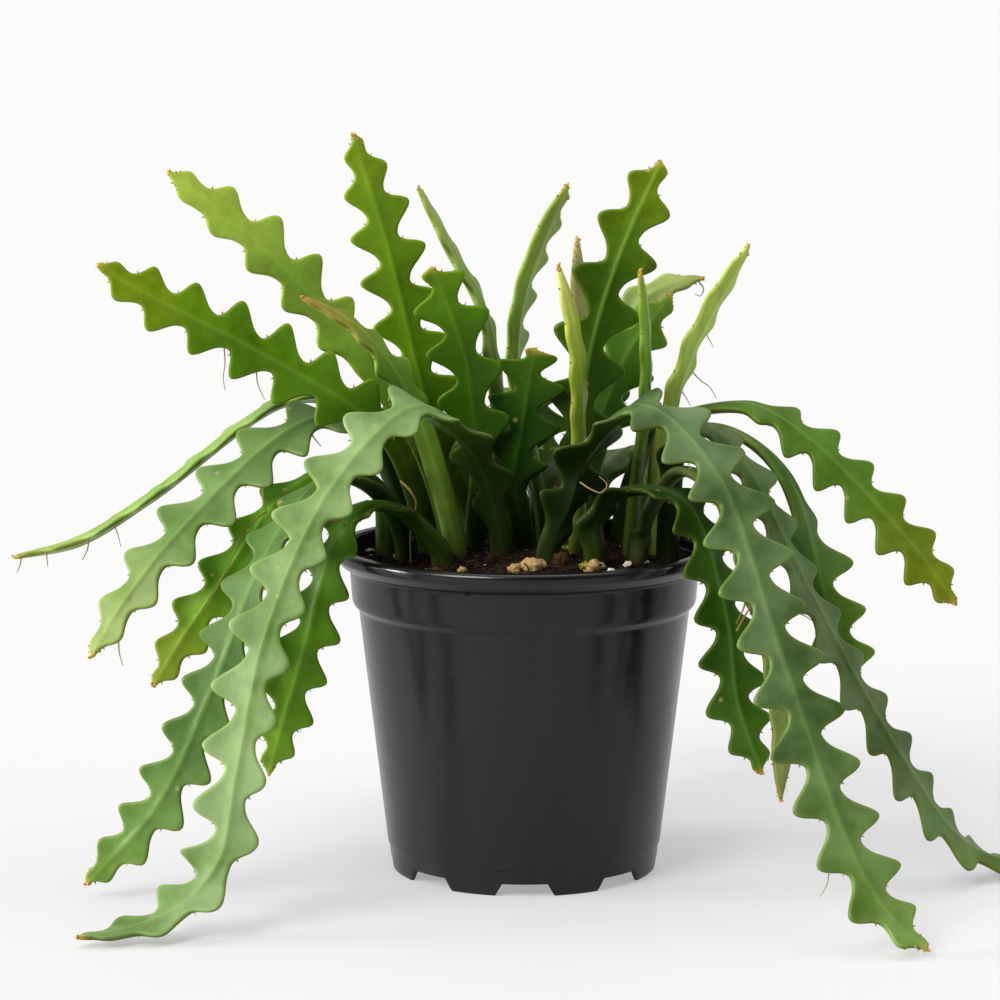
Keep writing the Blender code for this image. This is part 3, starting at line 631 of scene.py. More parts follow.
def catmull_rom(points: list, step: float) -> np.ndarray:
    """Points about every step mm along a smooth curve through the given points.

    Args:
        points: The points that the curve passes, in mm.
        step: Spacing in mm.

    Returns:
        One row of x, y and z for each point.
    """
    points = np.array(points, float)
    chain = np.vstack([2 * points[0] - points[1], points, 2 * points[-1] - points[-2]])
    curve = []
    for index in range(1, len(chain) - 2):
        row = chain[index - 1 : index + 3]
        spans = [math.sqrt(np.linalg.norm(after - here)) for here, after in zip(row, row[1:])]
        knots = np.cumsum([0.0] + spans)
        count = max(2, int(np.linalg.norm(row[2] - row[1]) / step))
        at = np.linspace(knots[1], knots[2], count, endpoint=False)[:, None]
        for reach, first in ((1, 0), (2, 0), (1, 1)):
            row = [
                blend(here, after, knots[first + number], knots[first + number + reach], at)
                for number, (here, after) in enumerate(zip(row, row[1:]))
            ]
        curve.append(row[0])
    return np.vstack(curve + [points[-1:]])


@dataclass(frozen=True)
class Skin:
    """Waxy skin of a flat cactus stem: satin, a little translucent, mottled in soft patches.

    A raised rib shows as a paler line, the margin is paler with a thin brown edge, and the young
    tip is golden brown. Toward the soil the skin is painted darker, as painted shade of the
    crowded stem bases, and its lowest part is corky. The silver on the upper face is partly wax
    and partly a painted sheen of the lit top. Patches, lines and reaches are in mm; a line has
    its far and near limit and its strength, and a reach its start and the place where it is full.
    """

    name: str
    rib: str
    rim: str
    margin: str
    tip: str
    painted_base_shade: str
    cork: str
    scar: str
    silver: str
    roughness: float = 0.36
    roughness_swing: tuple[float, float] = (-0.06, 0.10)
    cloud: float = 24.0
    cloud_shades: tuple[float, float] = (0.80, 1.16)
    mottle: float = 5.0
    mottle_shades: tuple[float, float] = (0.86, 1.12)
    grain: float = 1.3
    scar_spacing: float = 13.0
    scar_line: Point = (0.10, 0.05, 0.55)
    scar_rarity: float = 0.62
    # Silver on the upper face, partly wax and partly painted sheen of the lit top: its strength, patch
    # limits and least share
    bloom_sheen_strength: float = 0.6
    bloom_sheen_limits: tuple[float, float] = (0.36, 0.64)
    bloom_sheen_least: float = 0.25
    rib_line: Point = (1.3, 0.3, 1.0)
    rim_line: Point = (1.8, 0.3, 0.14)
    margin_line: tuple[float, float] = (0.40, 0.05)
    margin_strength: float = 0.28
    tip_reach: tuple[float, float] = (4.5, 0.3)
    tip_strength: float = 0.65
    # Painted shade toward the soil: where it starts and where it is full, in mm, and its share
    painted_base_shade_reach: tuple[float, float] = (110.0, 30.0)
    painted_base_shade_strength: float = 0.72
    cork_reach: tuple[float, float] = (30.0, 12.0)
    cork_strength: float = 0.35

    def material(self) -> Material:
        """Builds the skin's material, which reads the attributes that the sweep stores."""
        material, add, shader, place = new_material(self.name)
        from_rib, from_edge, from_tip, from_root, upper, bloom, vein = (
            add(ATTRIBUTE, attribute_name=name).outputs["Fac"]
            for name in ("rib_mm", "edge_mm", "tip_mm", "root_mm", "upper", "bloom", "vein")
        )
        skin = add(ATTRIBUTE, attribute_name="skin").outputs["Vector"]
        cloud, mottle, grain = (
            add(NOISE, {0: place, 2: 1000 / size, 3: detail, 4: 0.55})
            for size, detail in ((self.cloud, 3.0), (self.mottle, 4.0), (self.grain, 2.0))
        )
        shade, fleck = (
            add(MAP_RANGE, {0: patches, **MIDDLE, 3: low, 4: high})
            for patches, (low, high) in ((cloud, self.cloud_shades), (mottle, self.mottle_shades))
        )
        both = add(MATH, {0: shade, 1: fleck}, operation="MULTIPLY")
        green = add(VECTOR_MATH, {0: skin, 3: both}, operation="SCALE")
        thin, thick = self.bloom_sheen_limits
        bloom_sheen_patches = add(MAP_RANGE, {0: cloud, 1: thin, 2: thick, 3: self.bloom_sheen_least, 4: 1.0})
        # Painted sheen with wax: silver on the upper sheet only, in patches
        wax_and_sheen = upper
        for share in (bloom, bloom_sheen_patches, self.bloom_sheen_strength):
            wax_and_sheen = add(MATH, {0: wax_and_sheen, 1: share}, operation="MULTIPLY")
        crest = self.line(add, from_rib, *self.rib_line)
        layers = [
            (wax_and_sheen, self.silver),
            (add(MATH, {0: crest, 1: vein}, operation="MULTIPLY"), self.rib),
            (self.line(add, from_edge, *self.rim_line), self.rim),
            (self.worn_edge(add, from_edge, mottle), self.margin),
        ]
        for distance, reach, strength, colour in (
            (from_tip, self.tip_reach, self.tip_strength, self.tip),
            # Painted shade: the skin darkens toward the soil, where the crowded stems shade each other
            (from_root, self.painted_base_shade_reach, self.painted_base_shade_strength, self.painted_base_shade),
            (from_root, self.cork_reach, self.cork_strength, self.cork),
        ):
            layers.append((self.near_end(add, distance, mottle, reach, strength), colour))
        layers.append((self.scars(add, place), self.scar))
        smooth, rough = (self.roughness + swing for swing in self.roughness_swing)
        dimples = add(MATH, {0: mottle, 1: 0.6}, operation="MULTIPLY")
        relief = add(MATH, {0: grain, 1: 0.16, 2: dimples}, operation="MULTIPLY_ADD")
        finish = {
            "Base Color": paint(add, green.outputs[0], layers),
            "Roughness": add(MAP_RANGE, {0: mottle, **MIDDLE, 3: smooth, 4: rough}),
            "Normal": add(BUMP, {"Strength": 0.55, "Distance": 0.6 * MM, "Height": relief}),
            "IOR": 1.44,
            "Specular IOR Level": 0.22,
            "Subsurface Weight": 0.08,
            "Subsurface Radius": (0.8, 1.0, 0.08),
            "Subsurface Scale": 2.5 * MM,
        }
        wire(shader, finish)
        return material

    def line(
        self, add: Adder, distance: NodeSocket | Node, far: float, near: float, strength: float
    ) -> Node:
        """Share of a soft line: full within near mm, none past far mm."""
        limits = {0: distance, 1: near, 2: far, 3: strength, 4: 0.0}
        return add(MAP_RANGE, limits, interpolation_type="SMOOTHSTEP")

    def worn_edge(self, add: Adder, distance: NodeSocket, patches: Node) -> Node:
        """Share of the brown line on the margin, broken up by the skin's patches."""
        line = self.line(add, distance, *self.margin_line, self.margin_strength)
        worn = add(MAP_RANGE, {0: patches, 1: 0.35, 2: 0.6, 3: 0.35, 4: 1.0})
        return add(MATH, {0: line, 1: worn}, operation="MULTIPLY")

    def near_end(
        self,
        add: Adder,
        distance: NodeSocket,
        patches: Node,
        reach: tuple[float, float],
        strength: float,
    ) -> Node:
        """Share of a colour that gathers in patches at one end of the stem.

        Args:
            add: What adds a node to the material.
            distance: Distance from that end in mm.
            patches: Noise that breaks up its limit.
            reach: Distances where it starts and where it is full, in mm.
            strength: Its share where it is full.

        Returns:
            The node that holds the share.
        """
        start, full = reach
        middle = 0.45 * (full - start)
        swing = {0: patches, 1: 2 * middle, 2: distance}
        shaken = add(MATH, swing, operation="MULTIPLY_ADD")
        return self.line(add, shaken, start + middle, full + middle, strength)

    def scars(self, add: Adder, place: NodeSocket) -> Node:
        """Share of the few small corky scars that an old skin carries."""
        spacing = {"Vector": place, "Scale": 1000 / self.scar_spacing}
        cells = add("ShaderNodeTexVoronoi", spacing)
        spot = self.line(add, cells.outputs["Distance"], *self.scar_line)
        tint = add("ShaderNodeSeparateColor", {0: cells.outputs["Color"]})
        chosen = add(MATH, {0: tint, 1: self.scar_rarity}, operation="GREATER_THAN")
        return add(MATH, {0: spot, 1: chosen}, operation="MULTIPLY")


GROWN_SKIN = Skin(
    "waxy_cactus_skin",
    rib="a3c766",
    rim="9aae3e",
    margin="5a4222",
    tip="b49c4a",
    # Colour of the painted shade near the soil
    painted_base_shade="14260a",
    cork="4a4426",
    scar="a99a62",
    silver="b0c29a",
)
YOUNG_SKIN = Skin(
    "young_cactus_skin",
    rib="b0bd6a",
    rim="b4bd70",
    margin="8a6238",
    tip="b48a48",
    painted_base_shade="2c4412",
    cork="6c6234",
    scar="b9a878",
    silver="b0c48c",
    roughness=0.38,
    painted_base_shade_strength=0.4,
)
DRIED_SKIN = Skin(
    "shrivelled_cactus_skin",
    rib="8a9a50",
    rim="8a9050",
    margin="6a4c30",
    tip="9a8458",
    painted_base_shade="1c2c0c",
    cork="3c3a20",
    scar="c0ae84",
    silver="a8b08c",
    roughness=0.52,
    margin_strength=0.7,
)


class Rib:
    """The curve along a stem's middle, with its faces and edges at each distance in mm."""

    ROOT_HEIGHTS = (108.0, 118.0, 128.0)
    ROUTE_STEP = 1.5
    BURIED = 16.0
    FADE_LENGTH = 26.0
    NOTCH_HALF_WIDTH = 4.6
    STALK_HALF_WIDTH = 4.5
    TIP_ROUNDING = 12.0
    TIP_CROWDING = 9.0
    TIP_THINNING = 25.0
    STALK_THINNING = 40.0
    LOBE_LEAN = 0.26
    LOBE_RISE = 0.40
    LOBE_RISE_POWER = 1.8
    LOBE_CREST = 0.36
    LOBE_FALL = 0.34
    LOBE_FALL_POWER = 3.5
    LOBE_VARIATION = 0.12
    LOBE_CYCLE = 1.9
    STEM_CYCLE = 7.0
    ROUNDING = (-2.2, -1.1, 0.0, 1.1, 2.2)
    NUB_LENGTH = 21.0
    NUB_SHARE = 0.34
    STALK_HALF_THICK = 3.4
    RIB_HALF_THICK = 2.2
    TIP_HALF_THICK = 0.9

    def __init__(self, stem: Stem) -> None:
        """Lays the smooth curve through the stem's root and route.

        Args:
            stem: The stem to follow.
        """
        route = [(*stem.root, height) for height in self.ROOT_HEIGHTS] + list(stem.route)
        self.stem = stem
        self.points = catmull_rom(route, self.ROUTE_STEP)
        steps = np.linalg.norm(np.diff(self.points, axis=0), axis=1)
        self.along = np.concatenate([[0.0], np.cumsum(steps)])
        self.length = float(self.along[-1])
        self.tangents = np.gradient(self.points, self.along, axis=0)
        self.hints = np.array(stem.faces, float)
        self.hints_along = np.linspace(0.0, self.length, len(self.hints))

    def table(self, s: np.ndarray, along: np.ndarray, rows: np.ndarray) -> np.ndarray:
        """Rows that belong to the distances s, blended from their neighbours."""
        return np.stack([np.interp(s, along, rows[:, axis]) for axis in range(3)], axis=1)

    def place(self, s: np.ndarray) -> tuple[np.ndarray, np.ndarray, np.ndarray, np.ndarray]:
        """Finds the blade's frame at some distances.

        Args:
            s: Distances from the root in mm.

        Returns:
            Points, tangents, face normals and width directions.
        """
        points = self.table(s, self.along, self.points)
        tangents = self.table(s, self.along, self.tangents)
        tangents /= np.linalg.norm(tangents, axis=1)[:, None]
        hints = self.table(s, self.hints_along, self.hints)
        normals = hints - tangents * np.sum(hints * tangents, axis=1)[:, None]
        normals /= np.linalg.norm(normals, axis=1)[:, None]
        return points, tangents, normals, np.cross(tangents, normals)

    def phase(self, from_tip: np.ndarray, side: int) -> np.ndarray:
        """Lobe count from the tip, part of a lobe later on one side."""
        crowded = from_tip + self.TIP_CROWDING * (1 - np.exp(-from_tip / self.TIP_CROWDING))
        later = self.stem.stagger if side > 0 else 0.0
        return crowded / self.stem.pitch + self.stem.shift + later

    def blade_share(self, s: np.ndarray) -> np.ndarray:
        """How far the stem has turned from a round stalk to a flat blade, from 0 to 1."""
        return np.clip((s - self.stem.stalk - self.BURIED) / self.FADE_LENGTH, 0.0, 1.0)

    def lobe_outline(self, share: np.ndarray) -> np.ndarray:
        """Height of a saw-like lobe: a steep rise behind its notch, a round crest, a long tail."""
        rise = 1 - (1 - np.clip(share / self.LOBE_RISE, 0.0, 1.0)) ** self.LOBE_RISE_POWER
        past = np.maximum(share - self.LOBE_CREST, 0.0) / (1 - self.LOBE_CREST)
        fall = 1 / (1 + (past / self.LOBE_FALL) ** self.LOBE_FALL_POWER)
        end = 1 / (1 + (1 / self.LOBE_FALL) ** self.LOBE_FALL_POWER)
        return rise * (fall - end) / (1 - end)

    def wave(self, from_tip: np.ndarray, side: int) -> np.ndarray:
        """Height of one edge's lobes from 0 to 1, no two lobes quite alike."""
        number, share = np.divmod(self.phase(from_tip, side), 1.0)
        turn = self.LOBE_CYCLE * number + self.STEM_CYCLE * self.stem.shift
        swing = 0.5 + 0.5 * np.sin(turn)
        return (1 - self.LOBE_VARIATION * swing) * self.lobe_outline(share)

    def lobe(self, s: np.ndarray, side: int) -> tuple[np.ndarray, np.ndarray]:
        """Finds the lobes of one edge.

        Args:
            s: Distances from the root in mm.
            side: -1 for the left edge, 1 for the right one.

        Returns:
            Width of the blade's body and how far the lobe stands out from it, in mm.
        """
        from_tip = self.length - s
        widest = self.stem.half_width * self.stem.sides[side > 0]
        full = widest * (1 - np.exp(-from_tip / self.stem.taper))
        to_end = 1 - np.clip(from_tip / self.TIP_ROUNDING, 0.0, 1.0)
        nub = self.NUB_SHARE + (1 - self.NUB_SHARE) * smoothstep(from_tip / self.NUB_LENGTH)
        body = self.NOTCH_HALF_WIDTH * np.sqrt(1 - to_end**2) * nub
        wave = np.mean([self.wave(from_tip + gap, side) for gap in self.ROUNDING], axis=0)
        begun = self.blade_share(s)
        stands = np.maximum(full - body, 0.0) * wave * smoothstep(begun)
        stalk_body = self.STALK_HALF_WIDTH + (body - self.STALK_HALF_WIDTH) * begun
        body = np.where(from_tip > self.TIP_THINNING, stalk_body, body)
        return body, stands

    def edge_offset(self, s: np.ndarray, side: int) -> np.ndarray:
        """Vectors in mm from the rib to one edge."""
        body, stands = self.lobe(s, side)
        _, tangents, _, across = self.place(s)
        leaning = self.LOBE_LEAN * stands
        return tangents * leaning[:, None] + across * (side * (body + stands))[:, None]

    def half_thickness(self, s: np.ndarray) -> np.ndarray:
        """Half the thickness at the rib in mm."""
        begun = np.clip((s - self.BURIED) / self.STALK_THINNING, 0.0, 1.0)
        body = self.STALK_HALF_THICK + (self.RIB_HALF_THICK - self.STALK_HALF_THICK) * begun
        end = np.clip((self.length - s) / self.TIP_THINNING, 0.0, 1.0)
        return self.TIP_HALF_THICK + (body - self.TIP_HALF_THICK) * end

    def edge_point(self, from_tip: float, side: int) -> np.ndarray:
        """The point of one edge at a distance from the tip, in mm."""
        s = np.array([self.length - from_tip])
        return (self.place(s)[0] + self.edge_offset(s, side))[0]


class BladeSweep:
    """Geometry nodes that sweep a lobed, ribbed blade along a stem's rib line.

    The rib line is a row of points that carry the blade's frame and sizes. A grid gets a row for
    each of them, and becomes an upper and a lower sheet that meet in rounded margins.
    """

    FLOATS = ("girth", "wing", "margin", "blade", "root_mm", "tip_mm", "left_bite", "right_bite")
    VECTORS = ("face", "left", "right", "skin")
    SIZES = {
        "Columns": 21,
        "Rib line width": 1.4 * MM,
        "Rib swell width": 5.0 * MM,
        "Fold": 0.05,
        "Ripple height": 1.6 * MM,
        "Ripple length": 26.0 * MM,
        "Ripple reach": 14.0 * MM,
        "Bloom and sheen": 0.2,
        "Vein": 0.2,
        "Seed": 0,
        "Material": None,
    }
    BUMPS = (("Rib line width", 0.45), ("Rib swell width", 0.55))
    RIPPLE_POWER = 1.3
    LEAST_MARGIN = 0.0001 * MM
    SAME_POINT = 0.002 * MM

    def __init__(self) -> None:
        """Builds the tree."""
        self.tree, self.add, given = open_tree("lobed_blade_sweep", self.SIZES)
        self.size = given.outputs
        self.build(given)

    def sampled(self, row: Node) -> dict[str, Node]:
        """Reads the rib line for the grid's rows.

        Args:
            row: The node that holds each point's row number.

        Returns:
            The reading node of each stored value, and of the line's position as rib.
        """
        sources = {"rib": ("FLOAT_VECTOR", self.add("GeometryNodeInputPosition"))}
        for kind, names in (("FLOAT", self.FLOATS), ("FLOAT_VECTOR", self.VECTORS)):
            for name in names:
                sources[name] = (kind, self.add(STORED, {0: name}, data_type=kind))
        found = {}
        for name, (kind, source) in sources.items():
            reading = {0: self.size[0], 1: source, 2: row}
            found[name] = self.add("GeometryNodeSampleIndex", reading, data_type=kind)
        return found

    def build(self, given: Node) -> None:
        """Makes the grid, its profile across, and the two sheets."""
        add = self.add
        count = add("GeometryNodeAttributeDomainSize", {0: self.size[0]}).outputs[0]
        grid = add("GeometryNodeMeshGrid", {0: 2.0, 1: 1.0, 2: self.size["Columns"], 3: count})
        spot = add("ShaderNodeSeparateXYZ", {0: add("GeometryNodeInputPosition")})
        last = add(MATH, {0: count, 1: 1.0}, operation="SUBTRACT")
        lifted = add(MATH, {0: spot.outputs[1], 1: 0.5}, operation="ADD")
        level = add(MATH, {0: lifted, 1: last}, operation="MULTIPLY")
        rows = self.sampled(add("FunctionNodeFloatToInt", {0: level}, rounding_mode="ROUND"))

        right = add("FunctionNodeCompare", {0: spot.outputs[0], 1: 0.0}, operation="GREATER_THAN")
        offset = add(SWITCH, {0: right, 1: rows["left"], 2: rows["right"]}, input_type="VECTOR")
        bites = {0: right, 1: rows["left_bite"], 2: rows["right_bite"]}
        bite = add(SWITCH, bites, input_type="FLOAT")
        across = add(MATH, {0: spot.outputs[0]}, operation="ABSOLUTE")
        turned = add(MATH, {0: across, 1: math.pi}, operation="MULTIPLY")
        wave = add(MATH, {0: turned}, operation="COSINE")
        share = add(MATH, {0: wave, 1: -0.5, 2: 0.5}, operation="MULTIPLY_ADD")
        reach = add(VECTOR_MATH, {0: offset}, operation="LENGTH").outputs[1]
        from_rib = add(MATH, {0: reach, 1: share}, operation="MULTIPLY")
        inside = add(MATH, {0: reach, 1: from_rib}, operation="SUBTRACT")
        to_edge = add(MATH, {0: inside, 1: bite}, operation="MULTIPLY")

        half = self.half_thickness(rows, reach, from_rib, to_edge)
        centre, bend = self.middle_surface(rows, offset, share, from_rib)
        stored = self.stored(grid, rows, from_rib, to_edge)
        join = add("GeometryNodeJoinGeometry")
        for upper in (True, False):
            sheet = self.sheet(stored, rows["face"], centre, bend, half, upper)
            self.tree.links.new(sheet.outputs[0], join.inputs[0])
        merged = add("GeometryNodeMergeByDistance", {0: join, 2: self.SAME_POINT})
        close_tree(add, merged, given)

    def half_thickness(
        self, rows: dict[str, Node], reach: NodeSocket, from_rib: Node, to_edge: Node
    ) -> Node:
        """Half the blade's thickness: rib line, soft swell, even wing and rounded margin.

        Args:
            rows: Stored values of each row.
            reach: Distance from rib to edge.
            from_rib: Distance of the point from the rib.
            to_edge: Distance of the point from the edge.

        Returns:
            The node that holds half the thickness in metres.
        """
        add = self.add
        bumps = []
        for width, strength in self.BUMPS:
            ratio = add(MATH, {0: from_rib, 1: self.size[width]}, operation="DIVIDE")
            square = add(MATH, {0: ratio, 1: ratio}, operation="MULTIPLY")
            minus = add(MATH, {0: square, 1: -1.0}, operation="MULTIPLY")
            bell = add(MATH, {0: minus}, operation="EXPONENT")
            bumps.append(add(MATH, {0: bell, 1: strength}, operation="MULTIPLY"))
        swell = add(MATH, {0: bumps[0], 1: bumps[1]}, operation="ADD")
        extra = add(MATH, {0: rows["girth"], 1: rows["wing"]}, operation="SUBTRACT")
        body = add(MATH, {0: extra, 1: swell, 2: rows["wing"]}, operation="MULTIPLY_ADD")
        margin = add(MATH, {0: rows["margin"], 1: reach}, operation="MINIMUM")
        safe = add(MATH, {0: margin, 1: self.LEAST_MARGIN}, operation="MAXIMUM")
        ratio = add(MATH, {0: to_edge, 1: safe}, operation="DIVIDE", use_clamp=True)
        rest = add(MATH, {0: 2.0, 1: ratio}, operation="SUBTRACT")
        round_off = add(MATH, {0: ratio, 1: rest}, operation="MULTIPLY")
        rounded = add(MATH, {0: round_off}, operation="SQRT")
        return add(MATH, {0: body, 1: rounded}, operation="MULTIPLY")

    def middle_surface(
        self, rows: dict[str, Node], offset: Node, share: Node, from_rib: Node
    ) -> tuple[Node, Node]:
        """The surface between the sheets, and how far it bends out of the flat.

        Args:
            rows: Stored values of each row.
            offset: Vector from rib to edge.
            share: Share of that vector at the point.
            from_rib: Distance of the point from the rib.

        Returns:
            The nodes that hold the flat place and the bend along the face normal.
        """
        add, size = self.add, self.size
        out = add(VECTOR_MATH, {0: offset, 3: share}, operation="SCALE")
        centre = add(VECTOR_MATH, {0: rows["rib"], 1: out}, operation="ADD")
        scale = add(MATH, {0: 1.0, 1: size["Ripple length"]}, operation="DIVIDE")
        waves = {0: centre, 1: size["Seed"], 2: scale, 3: 1.0}
        ripple = add(NOISE, waves, noise_dimensions="4D")
        swing = add(MATH, {0: ripple, 1: 0.5}, operation="SUBTRACT")
        height = add(MATH, {0: swing, 1: size["Ripple height"]}, operation="MULTIPLY")
        far = add(MATH, {0: from_rib, 1: size["Ripple reach"]}, operation="DIVIDE")
        outward = add(MATH, {0: far, 1: self.RIPPLE_POWER}, operation="POWER")
        rippled = add(MATH, {0: height, 1: outward}, operation="MULTIPLY")
        bend = add(MATH, {0: from_rib, 1: size["Fold"], 2: rippled}, operation="MULTIPLY_ADD")
        return centre, add(MATH, {0: bend, 1: rows["blade"]}, operation="MULTIPLY")

    def stored(self, grid: Node, rows: dict[str, Node], from_rib: Node, to_edge: Node) -> Node:
        """Stores on the grid what the skin's material reads.

        Args:
            grid: The flat grid.
            rows: Stored values of each row.
            from_rib: Distance of the point from the rib.
            to_edge: Distance of the point from the edge.

        Returns:
            The node that holds the grid with its values.
        """
        values = {"tip_mm": rows["tip_mm"], "root_mm": rows["root_mm"], "skin": rows["skin"]}
        for name, distance in (("rib_mm", from_rib), ("edge_mm", to_edge)):
            values[name] = self.add(MATH, {0: distance, 1: 1 / MM}, operation="MULTIPLY")
        values |= {"bloom": self.size["Bloom and sheen"], "vein": self.size["Vein"]}
        shape = grid
        for name, value in values.items():
            kind = "FLOAT_VECTOR" if name in self.VECTORS else "FLOAT"
            row = {0: shape, 2: name, 3: value}
            shape = self.add(STORE, row, data_type=kind, domain="POINT")
        return shape

    def sheet(
        self, grid: Node, face: Node, centre: Node, bend: Node, half: Node, upper: bool
    ) -> Node:
        """One face of the blade.

        Args:
            grid: The grid with its stored values.
            face: Face normal of each row.
            centre: Flat place of each point.
            bend: Bend along the normal.
            half: Half the thickness.
            upper: Whether this is the upper face.

        Returns:
            The node that holds the sheet.
        """
        add = self.add
        way = 1.0 if upper else -1.0
        rise = add(MATH, {0: half, 1: way, 2: bend}, operation="MULTIPLY_ADD")
        shift = add(VECTOR_MATH, {0: face, 3: rise}, operation="SCALE")
        place = add(VECTOR_MATH, {0: centre, 1: shift}, operation="ADD")
        mark = {0: grid, 2: "upper", 3: float(upper)}
        named = add(STORE, mark, data_type="FLOAT", domain="POINT")
        moved = add("GeometryNodeSetPosition", {0: named, 2: place})
        return moved if upper else add("GeometryNodeFlipFaces", {0: moved})


@dataclass
class LeafyStem:
    """One stem of the plant, swept in fine detail in the place of its solid. Sizes are in mm."""

    stem: Stem
    tone: Tone
    slot: Slot
    seed: int
    row_step: float = 1.35
    first_row: float = 2.0
    tip_gap: float = 0.02
    fine_step: float = 0.1
    wing: float = 0.85
    margin: float = 1.0
    end_rounding: float = 3.0
    fold: float = 0.05
    least_bite: float = 0.15
    tone_marks: tuple[float, ...] = (0.0, 0.30, 0.72, 1.0)

    def rows(self, rib: Rib) -> np.ndarray:
        """Distances of the blade's rows from the root, closer together where an edge is steep."""
        fine = np.arange(self.first_row, rib.length - self.tip_gap, self.fine_step)
        middle = rib.place(fine)[0]
        steps = [
            np.linalg.norm(np.diff(middle + rib.edge_offset(fine, side), axis=0), axis=1)
            for side in (-1, 1)
        ]
        travelled = np.concatenate([[0.0], np.cumsum(np.maximum(*steps))])
        count = int(travelled[-1] / self.row_step)
        return np.interp(np.linspace(0.0, travelled[-1], count), travelled, fine)

    def bite(self, rib: Rib, s: np.ndarray, side: int) -> np.ndarray:
        """How squarely each row meets its edge, from 0 to 1, evened out over five rows."""
        offset = rib.edge_offset(s, side)
        run = np.gradient(rib.place(s)[0] + offset, s, axis=0)
        run, row = (
            way / np.maximum(np.linalg.norm(way, axis=1), 1e-6)[:, None] for way in (run, offset)
        )
        squareness = np.linalg.norm(np.cross(run, row), axis=1)
        padded = np.pad(np.clip(squareness, self.least_bite, 1.0), 2, mode="edge")
        return np.convolve(padded, np.full(5, 0.2), mode="valid")

    def skin(self, rib: Rib, s: np.ndarray) -> np.ndarray:
        """Linear colour of each row, from the stalk to the tip."""
        shades = (self.tone.low, self.tone.middle, self.tone.middle, self.tone.tip)
        colours = np.array([linear(shade)[:3] for shade in shades])
        return rib.table(s / rib.length, np.array(self.tone_marks), colours)

    def rib_line(self) -> Mesh:
        """The row of points that the sweep reads, with the blade's frame and sizes stored."""
        rib = Rib(self.stem)
        s = self.rows(rib)
        points, _, normals, _ = rib.place(s)
        blade = smoothstep(rib.blade_share(s))
        girth = rib.half_thickness(s)
        from_tip = rib.length - s
        closing = np.sqrt(1 - np.clip(1 - from_tip / self.end_rounding, 0.0, 1.0) ** 2)
        closing[[0, -1]] = 0.0
        wing = girth + (np.minimum(self.wing, girth) - girth) * blade
        margin = rib.STALK_HALF_WIDTH + (self.margin - rib.STALK_HALF_WIDTH) * blade
        mesh = mesh_from(f"{self.stem.name}_line", points)
        store(mesh, girth=girth * closing * MM, wing=wing * closing * MM, margin=margin * MM)
        store(mesh, blade=blade, root_mm=s, tip_mm=from_tip, face=normals, skin=self.skin(rib, s))
        for side, name in ((-1, "left"), (1, "right")):
            edge = {name: rib.edge_offset(s, side) * MM, f"{name}_bite": self.bite(rib, s, side)}
            store(mesh, **edge)
        return mesh

    def build(self, sweep: BladeSweep, material: Material) -> None:
        """Sweeps the blade and puts it in the place of its solid.

        Args:
            sweep: The geometry nodes that make a blade.
            material: The skin.
        """
        sizes = {"Fold": self.fold, "Bloom and sheen": self.tone.bloom, "Vein": self.tone.vein}
        sizes |= {"Seed": self.seed, "Material": material}
        name = self.stem.name.replace("stem_", "blade_")
        ride(grow(name, self.rib_line(), sweep.tree, sizes), self.stem.name)


class StrandSweep:
    """Geometry nodes that turn lines of points into thin round strands."""

    SIZES = {"Sides": 6, "Material": None}

    def __init__(self) -> None:
        """Builds the tree."""
        self.tree, add, given = open_tree("strand_sweep", self.SIZES)
        curve = add("GeometryNodeMeshToCurve", {0: given.outputs[0]})
        ring = add("GeometryNodeCurvePrimitiveCircle", {0: given.outputs["Sides"], 4: 1.0})
        thick = add(STORED, {0: "thickness"}, data_type="FLOAT")
        thread = add("GeometryNodeCurveToMesh", {0: curve, 1: ring, 2: thick, 3: True})
        close_tree(add, thread, given)

    def run(self, name: str, strands: list[Strand], material: Material, sides: int = 6) -> Object:
        """Makes one piece of many strands.

        Args:
            name: The piece's name.
            strands: Points and radii of each strand, in mm.
            material: Its finish.
            sides: Sides of a strand's section.

        Returns:
            The finished object.
        """
        edges, start = [], 0
        for route, _ in strands:
            edges += [(step, step + 1) for step in range(start, start + len(route) - 1)]
            start += len(route)
        routes, radii = zip(*strands)
        mesh = mesh_from(f"{name}_lines", np.vstack(routes), edges)
        store(mesh, thickness=np.concatenate(radii) * MM)
        return grow(name, mesh, self.tree, {"Sides": sides, "Material": material})


